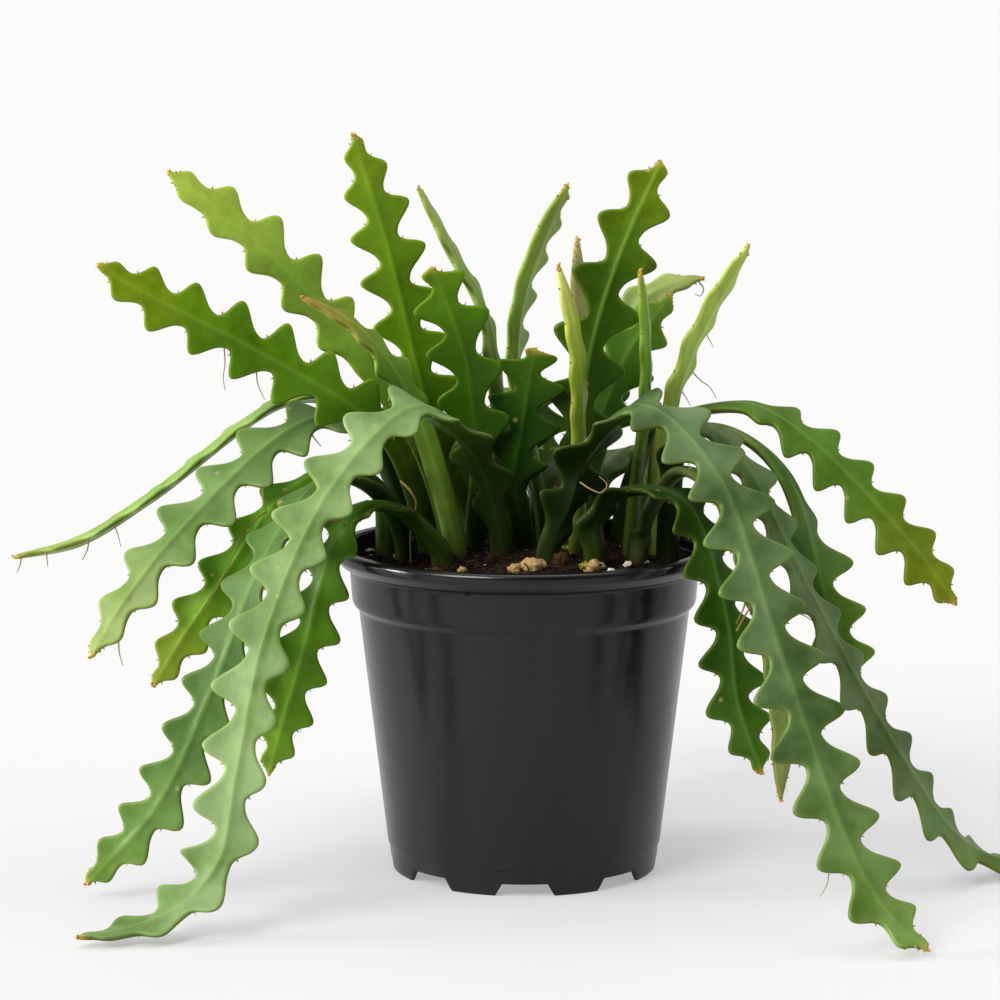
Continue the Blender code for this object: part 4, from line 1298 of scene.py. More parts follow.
class CrumbScatter:
    """Geometry nodes that scatter irregular crumbs over a surface."""

    SIZES = {
        "Density": 20000.0,
        "Smallest": 0.6 * MM,
        "Largest": 2.0 * MM,
        "Flatness": 0.6,
        "Length": 1.0,
        "Jitter": 0.5 * MM,
        "Jitter length": 2.0 * MM,
        "Sink": 0.2 * MM,
        "Seed": 0,
        "Material": None,
    }
    TILT = 0.5

    def __init__(self) -> None:
        """Builds the tree."""
        self.tree, add, given = open_tree("crumb_scatter", self.SIZES)
        size = given.outputs
        places = {0: size[0], "Density": size["Density"], "Seed": size["Seed"]}
        spread = add("GeometryNodeDistributePointsOnFaces", places)
        ball = add("GeometryNodeMeshIcoSphere", {0: 1.0, 1: 1})
        shape = add("ShaderNodeCombineXYZ", {0: size["Length"], 1: 1.0, 2: size["Flatness"]})
        pressed = add("GeometryNodeTransform", {0: ball, 3: shape})
        turns = {0: (-self.TILT, -self.TILT, 0.0), 1: (self.TILT, self.TILT, math.tau), "Seed": 3}
        turn = add(RANDOM, turns, data_type="FLOAT_VECTOR")
        widths = {2: size["Smallest"], 3: size["Largest"], "Seed": 5}
        scale = add(RANDOM, widths, data_type="FLOAT").outputs[1]
        crumbs = {0: spread.outputs[0], 2: pressed, 5: turn, 6: scale}
        placed = add("GeometryNodeInstanceOnPoints", crumbs)
        shade = add(RANDOM, {2: 0.0, 3: 1.0, "Seed": 7}, data_type="FLOAT").outputs[1]
        toned = add(STORE, {0: placed, 2: "tone", 3: shade}, data_type="FLOAT", domain="INSTANCE")
        real = add("GeometryNodeRealizeInstances", {0: toned})
        period = add(MATH, {0: 1.0, 1: size["Jitter length"]}, operation="DIVIDE")
        rough = add(NOISE, {0: add("GeometryNodeInputPosition"), 2: period, 3: 1.0}).outputs[1]
        swing = add(VECTOR_MATH, {0: rough, 1: (0.5, 0.5, 0.5)}, operation="SUBTRACT")
        push = add(VECTOR_MATH, {0: swing, 3: size["Jitter"]}, operation="SCALE")
        drop = add("ShaderNodeCombineXYZ", {2: size["Sink"]})
        lowered = add(VECTOR_MATH, {0: push, 1: drop}, operation="SUBTRACT")
        close_tree(add, add("GeometryNodeSetPosition", {0: real, 3: lowered}), given)


@dataclass(frozen=True)
class Grit:
    """Loose solids of a potting mix, such as peat, bark or perlite: matt, each crumb its own shade."""

    name: str
    dark: str
    light: str
    roughness: float = 0.9
    grain: float = 0.8
    relief: float = 0.4

    def material(self) -> Material:
        """Builds the material, which shades each crumb by its stored tone."""
        material, add, shader, place = new_material(self.name)
        tone = add(ATTRIBUTE, attribute_name="tone").outputs["Fac"]
        fleck = add(NOISE, {0: place, 2: 1000 / self.grain, 3: 4.0})
        share = add(MATH, {0: fleck, 1: tone}, operation="MULTIPLY")
        spread = add(MAP_RANGE, {0: share, 1: 0.02, 2: 0.55, 3: 0.0, 4: 1.0})
        uneven = {"Strength": 0.6, "Distance": self.relief * MM, "Height": fleck}
        finish = {
            "Base Color": paint(add, linear(self.dark), [(spread, self.light)]),
            "Normal": add(BUMP, uneven),
            "Roughness": self.roughness,
            "Specular IOR Level": 0.25,
        }
        wire(shader, finish)
        return material


PEAT = Grit("moist_peat_crumbs", "040302", "36261a")
BARK = Grit("composted_bark", "1c100a", "523825", grain=1.4)
PERLITE = Grit("perlite_grit", "9a9284", "e2dccf", roughness=0.85, relief=0.2)
PEBBLE = Grit("tan_pebble", "5c4a2e", "b49c6c", roughness=0.8, grain=1.6)
MOSS = Grit("cushion_moss", "3d4a0c", "9aa12c", grain=0.7)
FIBRE = Grit("coir_fibre", "2c1a0e", "6e5030", roughness=0.8)
AERIAL_ROOT = Grit("dry_aerial_root", "8a7448", "d8cba0", roughness=0.7, grain=2.5, relief=0.1)
AREOLE_WOOL = Grit("areole_wool", "8a7350", "d9cdb0", roughness=0.95, grain=0.5)
GOLDEN_WOOL = Grit("golden_tip_wool", "b8924c", "f0dca0", grain=0.5)


@dataclass(frozen=True)
class MouldedPlastic:
    """Injection-moulded polypropylene: charcoal, satin, with flow streaks and light scuffs."""

    name: str = "charcoal_polypropylene"
    dark: str = "0e0e0f"
    light: str = "151516"
    scuff: str = "2c2c2b"
    scuff_size: float = 7.0
    scuff_strength: float = 0.25
    scuff_limits: tuple[float, float] = (0.60, 0.78)
    roughness: float = 0.22
    roughness_swing: tuple[float, float] = (-0.02, 0.08)
    streak_width: float = 9.0
    streak_length: float = 140.0
    peel: float = 1.6
    peel_height: float = 0.12

    def material(self) -> Material:
        """Builds the plastic's material on the pot's own coordinates."""
        material, add, shader, place = new_material(self.name)
        wide = 1000 / self.streak_width
        stretch = {0: place, 3: (wide, wide, 1000 / self.streak_length)}
        streak = add(NOISE, {0: add("ShaderNodeMapping", stretch), 2: 1.0, 3: 3.0})
        peel = add(NOISE, {0: place, 2: 1000 / self.peel, 3: 2.0})
        dust = add(NOISE, {0: place, 2: 1000 / self.scuff_size, 3: 8.0, 4: 0.7})
        flow = add(MAP_RANGE, {0: streak, **MIDDLE, 3: 0.0, 4: 1.0})
        clean, dusty = self.scuff_limits
        worn = add(MAP_RANGE, {0: dust, 1: clean, 2: dusty, 3: 0.0, 4: self.scuff_strength})
        smooth, rough = (self.roughness + swing for swing in self.roughness_swing)
        height = add(MATH, {0: streak, 1: 0.8, 2: peel}, operation="MULTIPLY_ADD")
        uneven = {"Strength": 0.18, "Distance": self.peel_height * MM, "Height": height}
        finish = {
            "Base Color": paint(add, linear(self.dark), [(flow, self.light), (worn, self.scuff)]),
            "Roughness": add(MAP_RANGE, {0: dust, 1: 0.3, 2: 0.75, 3: smooth, 4: rough}),
            "Normal": add(BUMP, uneven),
            "IOR": 1.49,
            "Specular IOR Level": 0.56,
        }
        wire(shader, finish)
        return material


@dataclass
class NurseryPot:
    """Six inch nursery pot with a rounded lip, a stepped collar and a notched foot. Sizes in mm."""

    height: float = 128.5
    rim_radius: float = 75.0
    base_radius: float = 52.5
    steps: int = 192
    notch_count: int = 8
    notch_widths: tuple[float, float] = (24.0, 17.5)
    notch_levels: tuple[float, float] = (-1.0, 4.9)
    notch_middle: float = 53.0
    notch_depth: float = 14.0
    hole_radius: float = 3.5
    hole_ring: float = 40.0
    hole_height: float = 5.2
    hole_depth: float = 6.0
    corner_steps: int = 4
    longest_rounding: float = 0.45
    sharp_angle: float = 40.0

    def profile(self) -> list[Point]:
        """Corners of the wall as radius, height and rounding, from the floor over the lip."""
        rim, base = self.rim_radius, self.base_radius
        return [
            (0.0, 6.0, 0.0), (52.0, 6.0, 2.0),
            (63.4, 102.8, 1.0), (66.0, 106.6, 1.0), (67.4, 119.2, 0.8), (69.3, 122.0, 0.8),
            (69.5, 127.6, 0.5), (70.4, self.height, 0.6), (rim - 1.0, self.height, 0.9),
            (rim, 127.3, 0.7), (rim, 124.6, 0.8), (71.4, 121.0, 0.9), (68.7, 119.9, 0.4),
            (68.4, 118.9, 0.3), (67.5, 107.3, 0.6), (67.0, 105.7, 0.5), (64.9, 103.6, 0.8),
            (53.9, 10.4, 0.25), (53.3, 10.0, 0.2), (base, 1.2, 0.5), (base - 0.5, 0.0, 0.3),
            (base - 2.1, 0.0, 0.3), (base - 2.4, 4.5, 0.4), (0.0, 4.5, 0.0),
        ]

    def rounded_profile(self) -> list[tuple[float, float]]:
        """The profile with each corner turned into a short arc."""
        corners = self.profile()
        line = [corners[0][:2]]
        for before, here, after in zip(corners, corners[1:], corners[2:]):
            middle, back, ahead = (np.array(point[:2]) for point in (here, before, after))
            arms = [(end - middle, np.linalg.norm(end - middle)) for end in (back, ahead)]
            size = min(here[2], *(self.longest_rounding * length for _, length in arms))
            start, end = (middle + arm / length * size for arm, length in arms)
            for share in np.linspace(0.0, 1.0, self.corner_steps + 1):
                left = 1 - share
                line.append(tuple(start * left**2 + 2 * middle * share * left + end * share**2))
        return line + [corners[-1][:2]]

    def cutters(self) -> Collection:
        """Wedges for the foot's notches and cylinders for the drain holes."""
        group = bpy.data.collections.new("pot_cutters")
        bpy.context.scene.collection.children.link(group)
        for index in range(self.notch_count):
            angle = index * math.tau / self.notch_count
            wedge = bmesh.new()
            bmesh.ops.create_cube(wedge, size=1.0)
            for point in wedge.verts:
                high = point.co.z > 0
                out = self.notch_middle + self.notch_depth * point.co.y
                point.co = (point.co.x * self.notch_widths[high], out, self.notch_levels[high])
            self.add_cutter(wedge, angle, group)
            hole = bmesh.new()
            sizes = {"radius1": self.hole_radius, "radius2": self.hole_radius}
            bmesh.ops.create_cone(hole, cap_ends=True, segments=20, depth=self.hole_depth, **sizes)
            middle = (self.hole_ring, 0.0, self.hole_height)
            bmesh.ops.translate(hole, vec=middle, verts=hole.verts)
            self.add_cutter(hole, angle + math.pi / self.notch_count, group)
        return group

    def add_cutter(self, shape: bmesh.types.BMesh, angle: float, group: Collection) -> None:
        """Turns a cutter to its place in the ring and adds it, in metres."""
        bmesh.ops.rotate(shape, matrix=Matrix.Rotation(angle, 3, "Z"), verts=shape.verts)
        bmesh.ops.scale(shape, vec=(MM, MM, MM), verts=shape.verts)
        group.objects.link(bpy.data.objects.new("cutter", take_shape(shape, "cutter")))

    def build(self) -> None:
        """Turns the pot, cuts it and puts it in the place of its solid."""
        line = self.rounded_profile()
        points = np.array([(radius, 0.0, height) for radius, height in line])
        edges = [(step, step + 1) for step in range(len(line) - 1)]
        pot = link_object("nursery_pot", mesh_from("nursery_pot", points, edges))
        screw = pot.modifiers.new("turn", "SCREW")
        screw.axis = "Z"
        screw.steps = screw.render_steps = self.steps
        screw.use_merge_vertices = True
        screw.merge_threshold = 0.01 * MM
        make_plain(pot)
        group = self.cutters()
        cut = pot.modifiers.new("cut", "BOOLEAN")
        cut.operand_type = "COLLECTION"
        cut.collection = group
        cut.solver = "EXACT"
        make_plain(pot)
        for helper in list(group.objects):
            bpy.data.objects.remove(helper)
        bpy.data.collections.remove(group)
        pot.data.shade_smooth()
        pot.data.set_sharp_from_angle(angle=math.radians(self.sharp_angle))
        pot.data.materials.clear()
        pot.data.materials.append(MouldedPlastic().material())
        ride(pot, "pot")


@dataclass(frozen=True)
class CrumbLayer:
    """One kind of crumb on the mix: its number to a square metre, sizes in mm and shape."""

    name: str
    finish: Grit
    density: float
    smallest: float
    largest: float
    flatness: float
    length: float

    def sizes(self, seed: int) -> dict:
        """What the scatter takes for this layer."""
        return {
            "Density": self.density,
            "Smallest": self.smallest * MM,
            "Largest": self.largest * MM,
            "Flatness": self.flatness,
            "Length": self.length,
            "Jitter": 0.55 * self.largest * MM,
            "Jitter length": 1.3 * self.largest * MM,
            "Seed": seed,
            "Material": self.finish.material(),
        }


CRUMB_LAYERS = (
    CrumbLayer("peat_crumbs", PEAT, 260000.0, 0.5, 1.5, 0.8, 1.0),
    CrumbLayer("peat_lumps", PEAT, 26000.0, 1.3, 2.7, 0.75, 1.1),
    CrumbLayer("bark_chips", BARK, 15000.0, 0.9, 2.4, 0.4, 1.6),
    CrumbLayer("perlite_grains", PERLITE, 2400.0, 0.5, 1.3, 0.8, 1.1),
)


@dataclass
class PottingMix:
    """Crumbly potting mix that fills the pot, with bark, grit, stones, moss and fibres on it.

    Sizes are in mm. The crown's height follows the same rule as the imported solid.
    """

    edge_radius: float = 68.6
    low_radius: float = 65.0
    crown_radius: float = 67.0
    edge_height: float = 121.3
    crown: float = 2.6
    left_rise: float = 0.010
    relief: float = 0.5
    ring_step: float = 1.1
    around: int = 220
    depth: float = 14.0
    lump_height: float = 1.6
    lump_fade: float = 3.0
    body_tone: float = 0.35
    fibre_count: int = 70
    fibre_ring: float = 62.0
    fibre_length: tuple[float, float] = (4.0, 13.0)
    fibre_radius: tuple[float, float] = (0.12, 0.34)
    fibre_rise: float = 0.35
    fibre_lift: float = 0.9
    fibre_seed: int = 21
    moss_seed: int = 10
    moss_places: tuple[Point, ...] = (
        (-51.0, 20.0, 8.0), (-46.0, -6.0, 5.0), (20.0, 10.0, 5.0), (24.0, -30.0, 4.0),
    )

    def level(self, x: float, y: float) -> float:
        """Height of the mix at a place, before its lumps."""
        radius = min(math.hypot(x, y) / self.crown_radius, 1.0)
        crown = (self.crown - self.left_rise * x) * (1 - radius**2)
        fine = math.sin(x * 0.31 + 1.3) * math.cos(y * 0.27)
        coarse = 0.6 * math.sin(x * 0.13 - y * 0.19)
        return self.edge_height + crown + self.relief * (fine + coarse) * (1 - radius**4)

    def lumps(self, x: float, y: float) -> float:
        """Height of the small lumps, fading at the wall."""
        rough = noise.fractal(Vector((x, y, 0.0)) * 0.22, 1.0, 2.1, 4)
        fade = min(1.0, (self.edge_radius - math.hypot(x, y)) / self.lump_fade)
        return self.lump_height * (0.5 * rough + 0.1) * fade

    def surface(self, keep: Point | None = None) -> Mesh:
        """The top of the mix as a ring grid, or only a patch of it.

        Args:
            keep: Centre and radius of the patch.

        Returns:
            The open top surface.
        """
        rings = int(self.edge_radius / self.ring_step)
        places = [(0.0, 0.0)]
        for ring in range(1, rings + 1):
            radius = self.edge_radius * ring / rings
            for step in range(self.around):
                angle = math.tau * step / self.around
                places.append((radius * math.cos(angle), radius * math.sin(angle)))
        points = [(x, y, self.level(x, y) + self.lumps(x, y)) for x, y in places]
        faces = [(0, 1 + step, 1 + (step + 1) % self.around) for step in range(self.around)]
        for ring in range(rings - 1):
            first = 1 + ring * self.around
            for step in range(self.around):
                here, after = first + step, first + (step + 1) % self.around
                faces.append((here, here + self.around, after + self.around, after))
        if keep is not None:
            x, y, reach = keep
            near = [math.hypot(p[0] - x, p[1] - y) < reach for p in points]
            faces = [face for face in faces if all(near[corner] for corner in face)]
        return mesh_from("mix_top", np.array(points), faces=faces)

    def body(self) -> Object:
        """The mix as a closed plug that stands in the pot."""
        shape = bmesh.new()
        shape.from_mesh(self.surface())
        rim = [edge for edge in shape.edges if edge.is_boundary]
        wall = bmesh.ops.extrude_edge_only(shape, edges=rim)["geom"]
        for point in wall:
            if isinstance(point, bmesh.types.BMVert):
                point.co.z = (self.edge_height - self.depth) * MM
                point.co.xy *= self.low_radius / self.edge_radius
        rim = [edge for edge in shape.edges if edge.is_boundary]
        bmesh.ops.contextual_create(shape, geom=rim)
        bmesh.ops.recalc_face_normals(shape, faces=shape.faces)
        mesh = take_shape(shape, "potting_mix_bed")
        mesh.shade_smooth()
        store(mesh, tone=np.full(len(mesh.vertices), self.body_tone))
        mesh.materials.append(PEAT.material())
        return link_object("potting_mix_bed", mesh)

    def fibres(self) -> list[Strand]:
        """Points and radii in mm of the loose coir fibres and thin sticks on the mix."""
        draw = np.random.default_rng(self.fibre_seed)
        strands = []
        for _ in range(self.fibre_count):
            radius = self.fibre_ring * math.sqrt(draw.uniform(0.0, 1.0))
            angle = draw.uniform(0.0, math.tau)
            x, y = radius * math.cos(angle), radius * math.sin(angle)
            heading = draw.uniform(0.0, math.tau)
            length = draw.uniform(*self.fibre_length)
            rise = draw.uniform(0.0, self.fibre_rise)
            route = []
            for step in range(4):
                along = length * (step / 3 - 0.5)
                turn = heading + 0.5 * draw.uniform(-1.0, 1.0)
                px, py = x + along * math.cos(turn), y + along * math.sin(turn)
                level = self.level(min(max(px, -self.low_radius), self.low_radius), py)
                lift = self.fibre_lift + rise * (along + length / 2)
                route.append((px, py, level + lift))
            curve = catmull_rom(route, 1.2)
            strands.append((curve, np.full(len(curve), draw.uniform(*self.fibre_radius))))
        return strands

    def build(self, scatter: CrumbScatter, threads: StrandSweep) -> None:
        """Fills the pot and scatters what lies on the mix.

        Args:
            scatter: Geometry nodes for crumbs.
            threads: Geometry nodes for strands.
        """
        ride(self.body(), "soil")
        for seed, layer in enumerate(CRUMB_LAYERS, 1):
            ride(grow(layer.name, self.surface(), scatter.tree, layer.sizes(seed)))
        tuft = {
            "Density": 900000.0,
            "Smallest": 0.3 * MM,
            "Largest": 0.9 * MM,
            "Flatness": 1.6,
            "Jitter": 0.4 * MM,
            "Sink": -1.2 * MM,
            "Material": MOSS.material(),
        }
        for number, patch in enumerate(self.moss_places, 1):
            tuft["Seed"] = self.moss_seed + number
            ride(grow(f"moss_tuft_{number}", self.surface(patch), scatter.tree, tuft))
        ride(threads.run("coir_fibres", self.fibres(), FIBRE.material(), 5))


@dataclass(frozen=True)
class Stone:
    """A pebble that lies on the potting mix: its place, size and height in mm."""

    name: str
    place: tuple[float, float]
    size: Point
    finish: Grit
    turn: float = 0.0
    wear: float = 0.30
    bump_scale: float = 1.8
    showing: float = 0.35
    tone: float = 0.9

    def build(self, mix: PottingMix) -> None:
        """Makes a worn, uneven pebble half sunk in the mix.

        Args:
            mix: What it lies on.
        """
        shape = bmesh.new()
        bmesh.ops.create_icosphere(shape, subdivisions=4, radius=1.0)
        for point in shape.verts:
            spot = point.co * self.bump_scale + Vector((*self.place, 0.0))
            bulge = noise.fractal(spot, 1.0, 2.0, 4)
            point.co *= 1.0 + self.wear * bulge
        middle = (*self.place, mix.level(*self.place) + self.showing * self.size[2])
        bmesh.ops.scale(shape, vec=self.size, verts=shape.verts)
        bmesh.ops.rotate(shape, matrix=Matrix.Rotation(self.turn, 3, "Z"), verts=shape.verts)
        bmesh.ops.translate(shape, vec=middle, verts=shape.verts)
        bmesh.ops.scale(shape, vec=(MM, MM, MM), verts=shape.verts)
        mesh = take_shape(shape, self.name)
        mesh.shade_smooth()
        store(mesh, tone=np.full(len(mesh.vertices), self.tone))
        mesh.materials.append(self.finish.material())
        ride(link_object(self.name, mesh))


STONES = (
    Stone("tan_stone_front", (3.0, -33.0), (5.6, 4.0, 3.6), PEBBLE, 0.2),
    Stone("tan_stone_beside", (-4.0, -36.5), (3.0, 2.4, 2.4), PEBBLE, 1.0),
    Stone("brown_lump", (14.0, -24.0), (3.4, 3.0, 4.4), BARK, 0.6),
    Stone("tan_pebble_right", (26.5, -31.0), (4.2, 3.0, 3.0), PEBBLE, 0.3),
    Stone("small_pebble_left", (-24.0, -37.0), (2.4, 2.0, 2.0), PEBBLE, 1.1),
    Stone("grit_middle", (33.0, -35.0), (1.7, 1.5, 1.5), PERLITE, 0.4),
    Stone("grit_right", (40.0, -22.0), (1.9, 1.5, 1.6), PERLITE, 0.4),
    Stone("grit_right_back", (47.0, -14.0), (1.6, 1.6, 1.3), PERLITE, 0.9),
    Stone("grit_left", (-61.0, 16.0), (1.8, 1.5, 1.5), PERLITE, 0.2),
    Stone("grit_left_front", (-38.0, -34.0), (1.4, 1.2, 1.2), PERLITE, 0.7),
    Stone("bark_left", (-34.0, -38.0), (4.4, 2.4, 2.0), BARK, 2.2),
)


@dataclass(frozen=True)
class AerialRoot:
    """A dry root that leaves a stem's edge: its place there and its way on from it, in mm."""

    stem: str
    from_tip: float
    side: int
    way: tuple[Point, ...]
    radius: float = 0.28
    end: float = 0.45

    def strand(self) -> Strand:
        """Points and radii of the root, thinner at its end."""
        stem = next(stem for stem in STEMS if stem.name == self.stem)
        start = Rib(stem).edge_point(self.from_tip, self.side)
        curve = catmull_rom([start] + [start + np.array(step) for step in self.way], 1.0)
        return curve, self.radius * np.linspace(1.0, self.end, len(curve))


AERIAL_ROOTS = (
    AerialRoot("stem_left_broad", 58.0, -1, ((0.3, -1, -6), (-0.4, -1, -11), (0.2, -1, -16))),
    AerialRoot("stem_left_broad", 74.0, -1, ((0.5, -1, -4), (2.0, -1, -8), (3.4, -1, -10.5))),
    AerialRoot("stem_left_arch_silver", 95.0, -1, ((0.2, -1, -4), (1.4, -1, -9)), 0.32),
    AerialRoot("stem_left_arch_silver", 12.0, -1, ((0.2, 0, -4), (1.5, 0, -9)), 0.30),
    AerialRoot("stem_left_arch_silver", 127.0, -1, ((1.5, -0.5, -2), (3.4, -0.5, -4.2)), 0.34),
    AerialRoot("stem_left_arch_flat", 31.0, -1, ((-0.4, 0, -4), (-2.6, 0, -8.5)), 0.34),
    AerialRoot("stem_left_arch_flat", 14.0, -1, ((0.2, 0, -3), (0.5, 0, -6)), 0.30),
    AerialRoot("stem_left_arch_flat", 4.0, -1, ((-0.3, 0, -3), (-1.8, 0, -6.5)), 0.32),
    AerialRoot("stem_left_arch_flat", 42.0, -1, ((1.4, 0, -4), (2.6, 0, -9)), 0.24),
    AerialRoot("stem_right_leaning", 57.0, 1, ((4, -1, -4), (7, -1, -6), (10, -1, -11)), 0.26),
    AerialRoot("stem_right_leaning", 64.0, 1, ((2, -1, -3), (4, -1, -6.5)), 0.24),
    AerialRoot("stem_right_leaning", 40.0, 1, ((1.4, -1, -2.6), (3, -1, -5.4)), 0.22),
    AerialRoot("stem_back_pale", 3.0, 1, ((2.0, 0, -3), (0.6, 0, -6), (-1.6, 0, -5)), 0.30),
    AerialRoot("stem_right_arch_front", 44.0, 1, ((-1.0, -2, -4), (-3.4, -2, -8)), 0.22),
    AerialRoot("stem_right_arch_third", 35.0, 1, ((4, -1, -2), (7, -1, -4), (10, -1, -6.5)), 0.26),
    AerialRoot("stem_left_trailing", 97.0, -1, ((-2, -1, -4), (-2.4, -1, -9), (-4, -1, -14)), 0.26),
    AerialRoot("stem_left_hanging", 26.0, 1, ((4, -1, -2), (8, -1, -5), (10, -1, -9.5)), 0.26),
    AerialRoot("stem_right_dried", 78.0, 1, ((-1, -1, -3), (-3.4, -1, -8)), 0.40),
    AerialRoot("stem_right_arch_second", 120.0, -1, ((-1, -2, -4), (0.5, -2, -9)), 0.24),
    AerialRoot("stem_back_arch", 60.0, 1, ((1, 1, -5), (0.4, 1, -10), (2, 1, -15)), 0.26),
    AerialRoot("stem_back_left_trailing", 70.0, -1, ((-2, 1, -5), (-3, 1, -12)), 0.26),
    AerialRoot("stem_back_right_trailing", 55.0, 1, ((2, 1, -4), (2.6, 1, -10)), 0.26),
)

# Roots that cross the plant, each by the points that it passes, in mm
FREE_ROOTS = (
    (((-48, -7, 154), (-44, -14, 151), (-42, -16, 147), (-44, -17, 136), (-44, -18, 122)), 0.55),
    (((-42, -14, 143), (-41, -13, 138), (-39, -9, 133), (-36, -5, 122)), 0.34),
    (((-70, -27, 146), (-69, -31, 142), (-66, -40, 138), (-64, -47, 131)), 0.42),
    (((-78, -46, 136), (-77, -45, 141), (-74, -42, 144), (-68, -38, 142)), 0.40),
    (((-84, -10, 152), (-98, -26, 146), (-107, -38, 139), (-112, -47, 128), (-121, -52, 111)), 0.34),
    (((21, -37, 158), (25, -42, 156), (29, -44, 155), (31, -43, 158), (28, -42, 161)), 0.36),
    (((79, -66, 106), (82, -67, 112), (86, -66, 118)), 0.45),
)


@dataclass
class Areoles:
    """Woolly areoles with a few bristles, in the notches and at the tip of each stem.

    Sizes are in mm. A tuft or a bristle is a short strand, and its profile says how its radius
    goes along it.
    """

    wool_radius: float = 0.42
    wool_sizes: tuple[float, float] = (0.35, 0.8)
    wool_profile: tuple[float, ...] = (0.5, 1.0, 0.8, 0.15)
    bristle_length: tuple[float, float] = (0.5, 1.3)
    bristle_radius: float = 0.05
    bristle_profile: Point = (1.0, 0.8, 0.4)
    bristles: int = 1
    tip_tufts: int = 11
    tip_length: float = 8.0
    tuft_sizes: tuple[float, float] = (0.8, 1.5)
    tuft_profile: tuple[float, ...] = (0.3, 1.0, 0.9, 0.2)
    hair_share: float = 0.45
    hair_length: tuple[float, float] = (0.8, 1.8)
    hair_profile: Point = (1.2, 1.0, 0.5)
    notch_gap: float = 14.0
    tip_gap: float = 3.0
    search_step: float = 0.25
    seed: int = 33

    def places(self) -> list[tuple[np.ndarray, np.ndarray]]:
        """Finds the bottom of each notch.

        Returns:
            The point and the way out of the notch for each.
        """
        found = []
        for stem in STEMS:
            rib = Rib(stem)
            first = stem.stalk + rib.BURIED + self.notch_gap
            fine = np.arange(first, rib.length - self.tip_gap, self.search_step)
            middle, tangents, _, across = rib.place(fine)
            for side in (-1, 1):
                edges = middle + rib.edge_offset(fine, side)
                lobes = np.floor(rib.phase(rib.length - fine, side))
                for index in np.nonzero(np.diff(lobes))[0]:
                    out = across[index] * side * 0.8 + tangents[index] * 0.6
                    found.append((edges[index], out))
        return found

    def tip_places(self, draw: np.random.Generator) -> list[tuple[np.ndarray, np.ndarray]]:
        """Finds the young areoles that crowd at each growing tip.

        Args:
            draw: Source of the small differences.

        Returns:
            The point and the way out of the skin for each.
        """
        found = []
        for stem in STEMS:
            rib = Rib(stem)
            back = self.tip_length * draw.uniform(0.0, 1.0, self.tip_tufts) ** 1.4 + 0.3
            points, tangents, normals, across = rib.place(rib.length - back)
            for index, gap in enumerate(back):
                side = 1 if index % 2 else -1
                edge = rib.edge_offset(np.array([rib.length - gap]), side)[0]
                lift = normals[index] * draw.uniform(-0.6, 0.9)
                out = across[index] * side * 0.8 + tangents[index] * 0.8 + lift * 0.7
                found.append((points[index] + edge * draw.uniform(0.75, 1.0) + lift, out))
        return found

    def tip_strands(self, draw: np.random.Generator) -> list[Strand]:
        """Golden tufts at the growing tips, some with a hair on them.

        Args:
            draw: Source of the small differences.

        Returns:
            Points and radii of each, in mm.
        """
        gold = []
        for point, out in self.tip_places(draw):
            size = self.wool_radius * draw.uniform(*self.tuft_sizes)
            tuft = point + np.outer((-1.2, -0.4, 0.3, 0.8), out * size)
            gold.append((tuft, size * np.array(self.tuft_profile)))
            if draw.uniform() < self.hair_share:
                way = out * draw.uniform(*self.hair_length) + draw.normal(0.0, 0.3, 3)
                hair = point + np.outer((0.0, 0.5, 1.0), way)
                gold.append((hair, self.bristle_radius * np.array(self.hair_profile)))
        return gold

    def build(self, threads: StrandSweep) -> None:
        """Puts the wool and the bristles on the stems.

        Args:
            threads: Geometry nodes for strands.
        """
        draw = np.random.default_rng(self.seed)
        gold, wool, hairs = self.tip_strands(draw), [], []
        for point, out in self.places():
            middle = point + out * 0.15
            tuft = middle + np.outer((-0.7, 0.0, 0.5, 0.9), out)
            size = self.wool_radius * draw.uniform(*self.wool_sizes)
            wool.append((tuft, size * np.array(self.wool_profile)))
            for _ in range(draw.integers(0, self.bristles + 1)):
                length = draw.uniform(*self.bristle_length)
                tilt = draw.normal(0.0, 0.35, 3)
                way = out + tilt
                bend = (way + tilt * 0.4) * length
                hair = np.array([middle, middle + way * 0.5 * length, middle + bend])
                hairs.append((hair, self.bristle_radius * np.array(self.bristle_profile)))
        for name, strands, finish, sides in (
            ("tip_tufts", gold, GOLDEN_WOOL, 6),
            ("areole_wool", wool, AREOLE_WOOL, 6),
            ("areole_bristles", hairs, AERIAL_ROOT, 3),
        ):
            ride(threads.run(name, strands, finish.material(), sides))


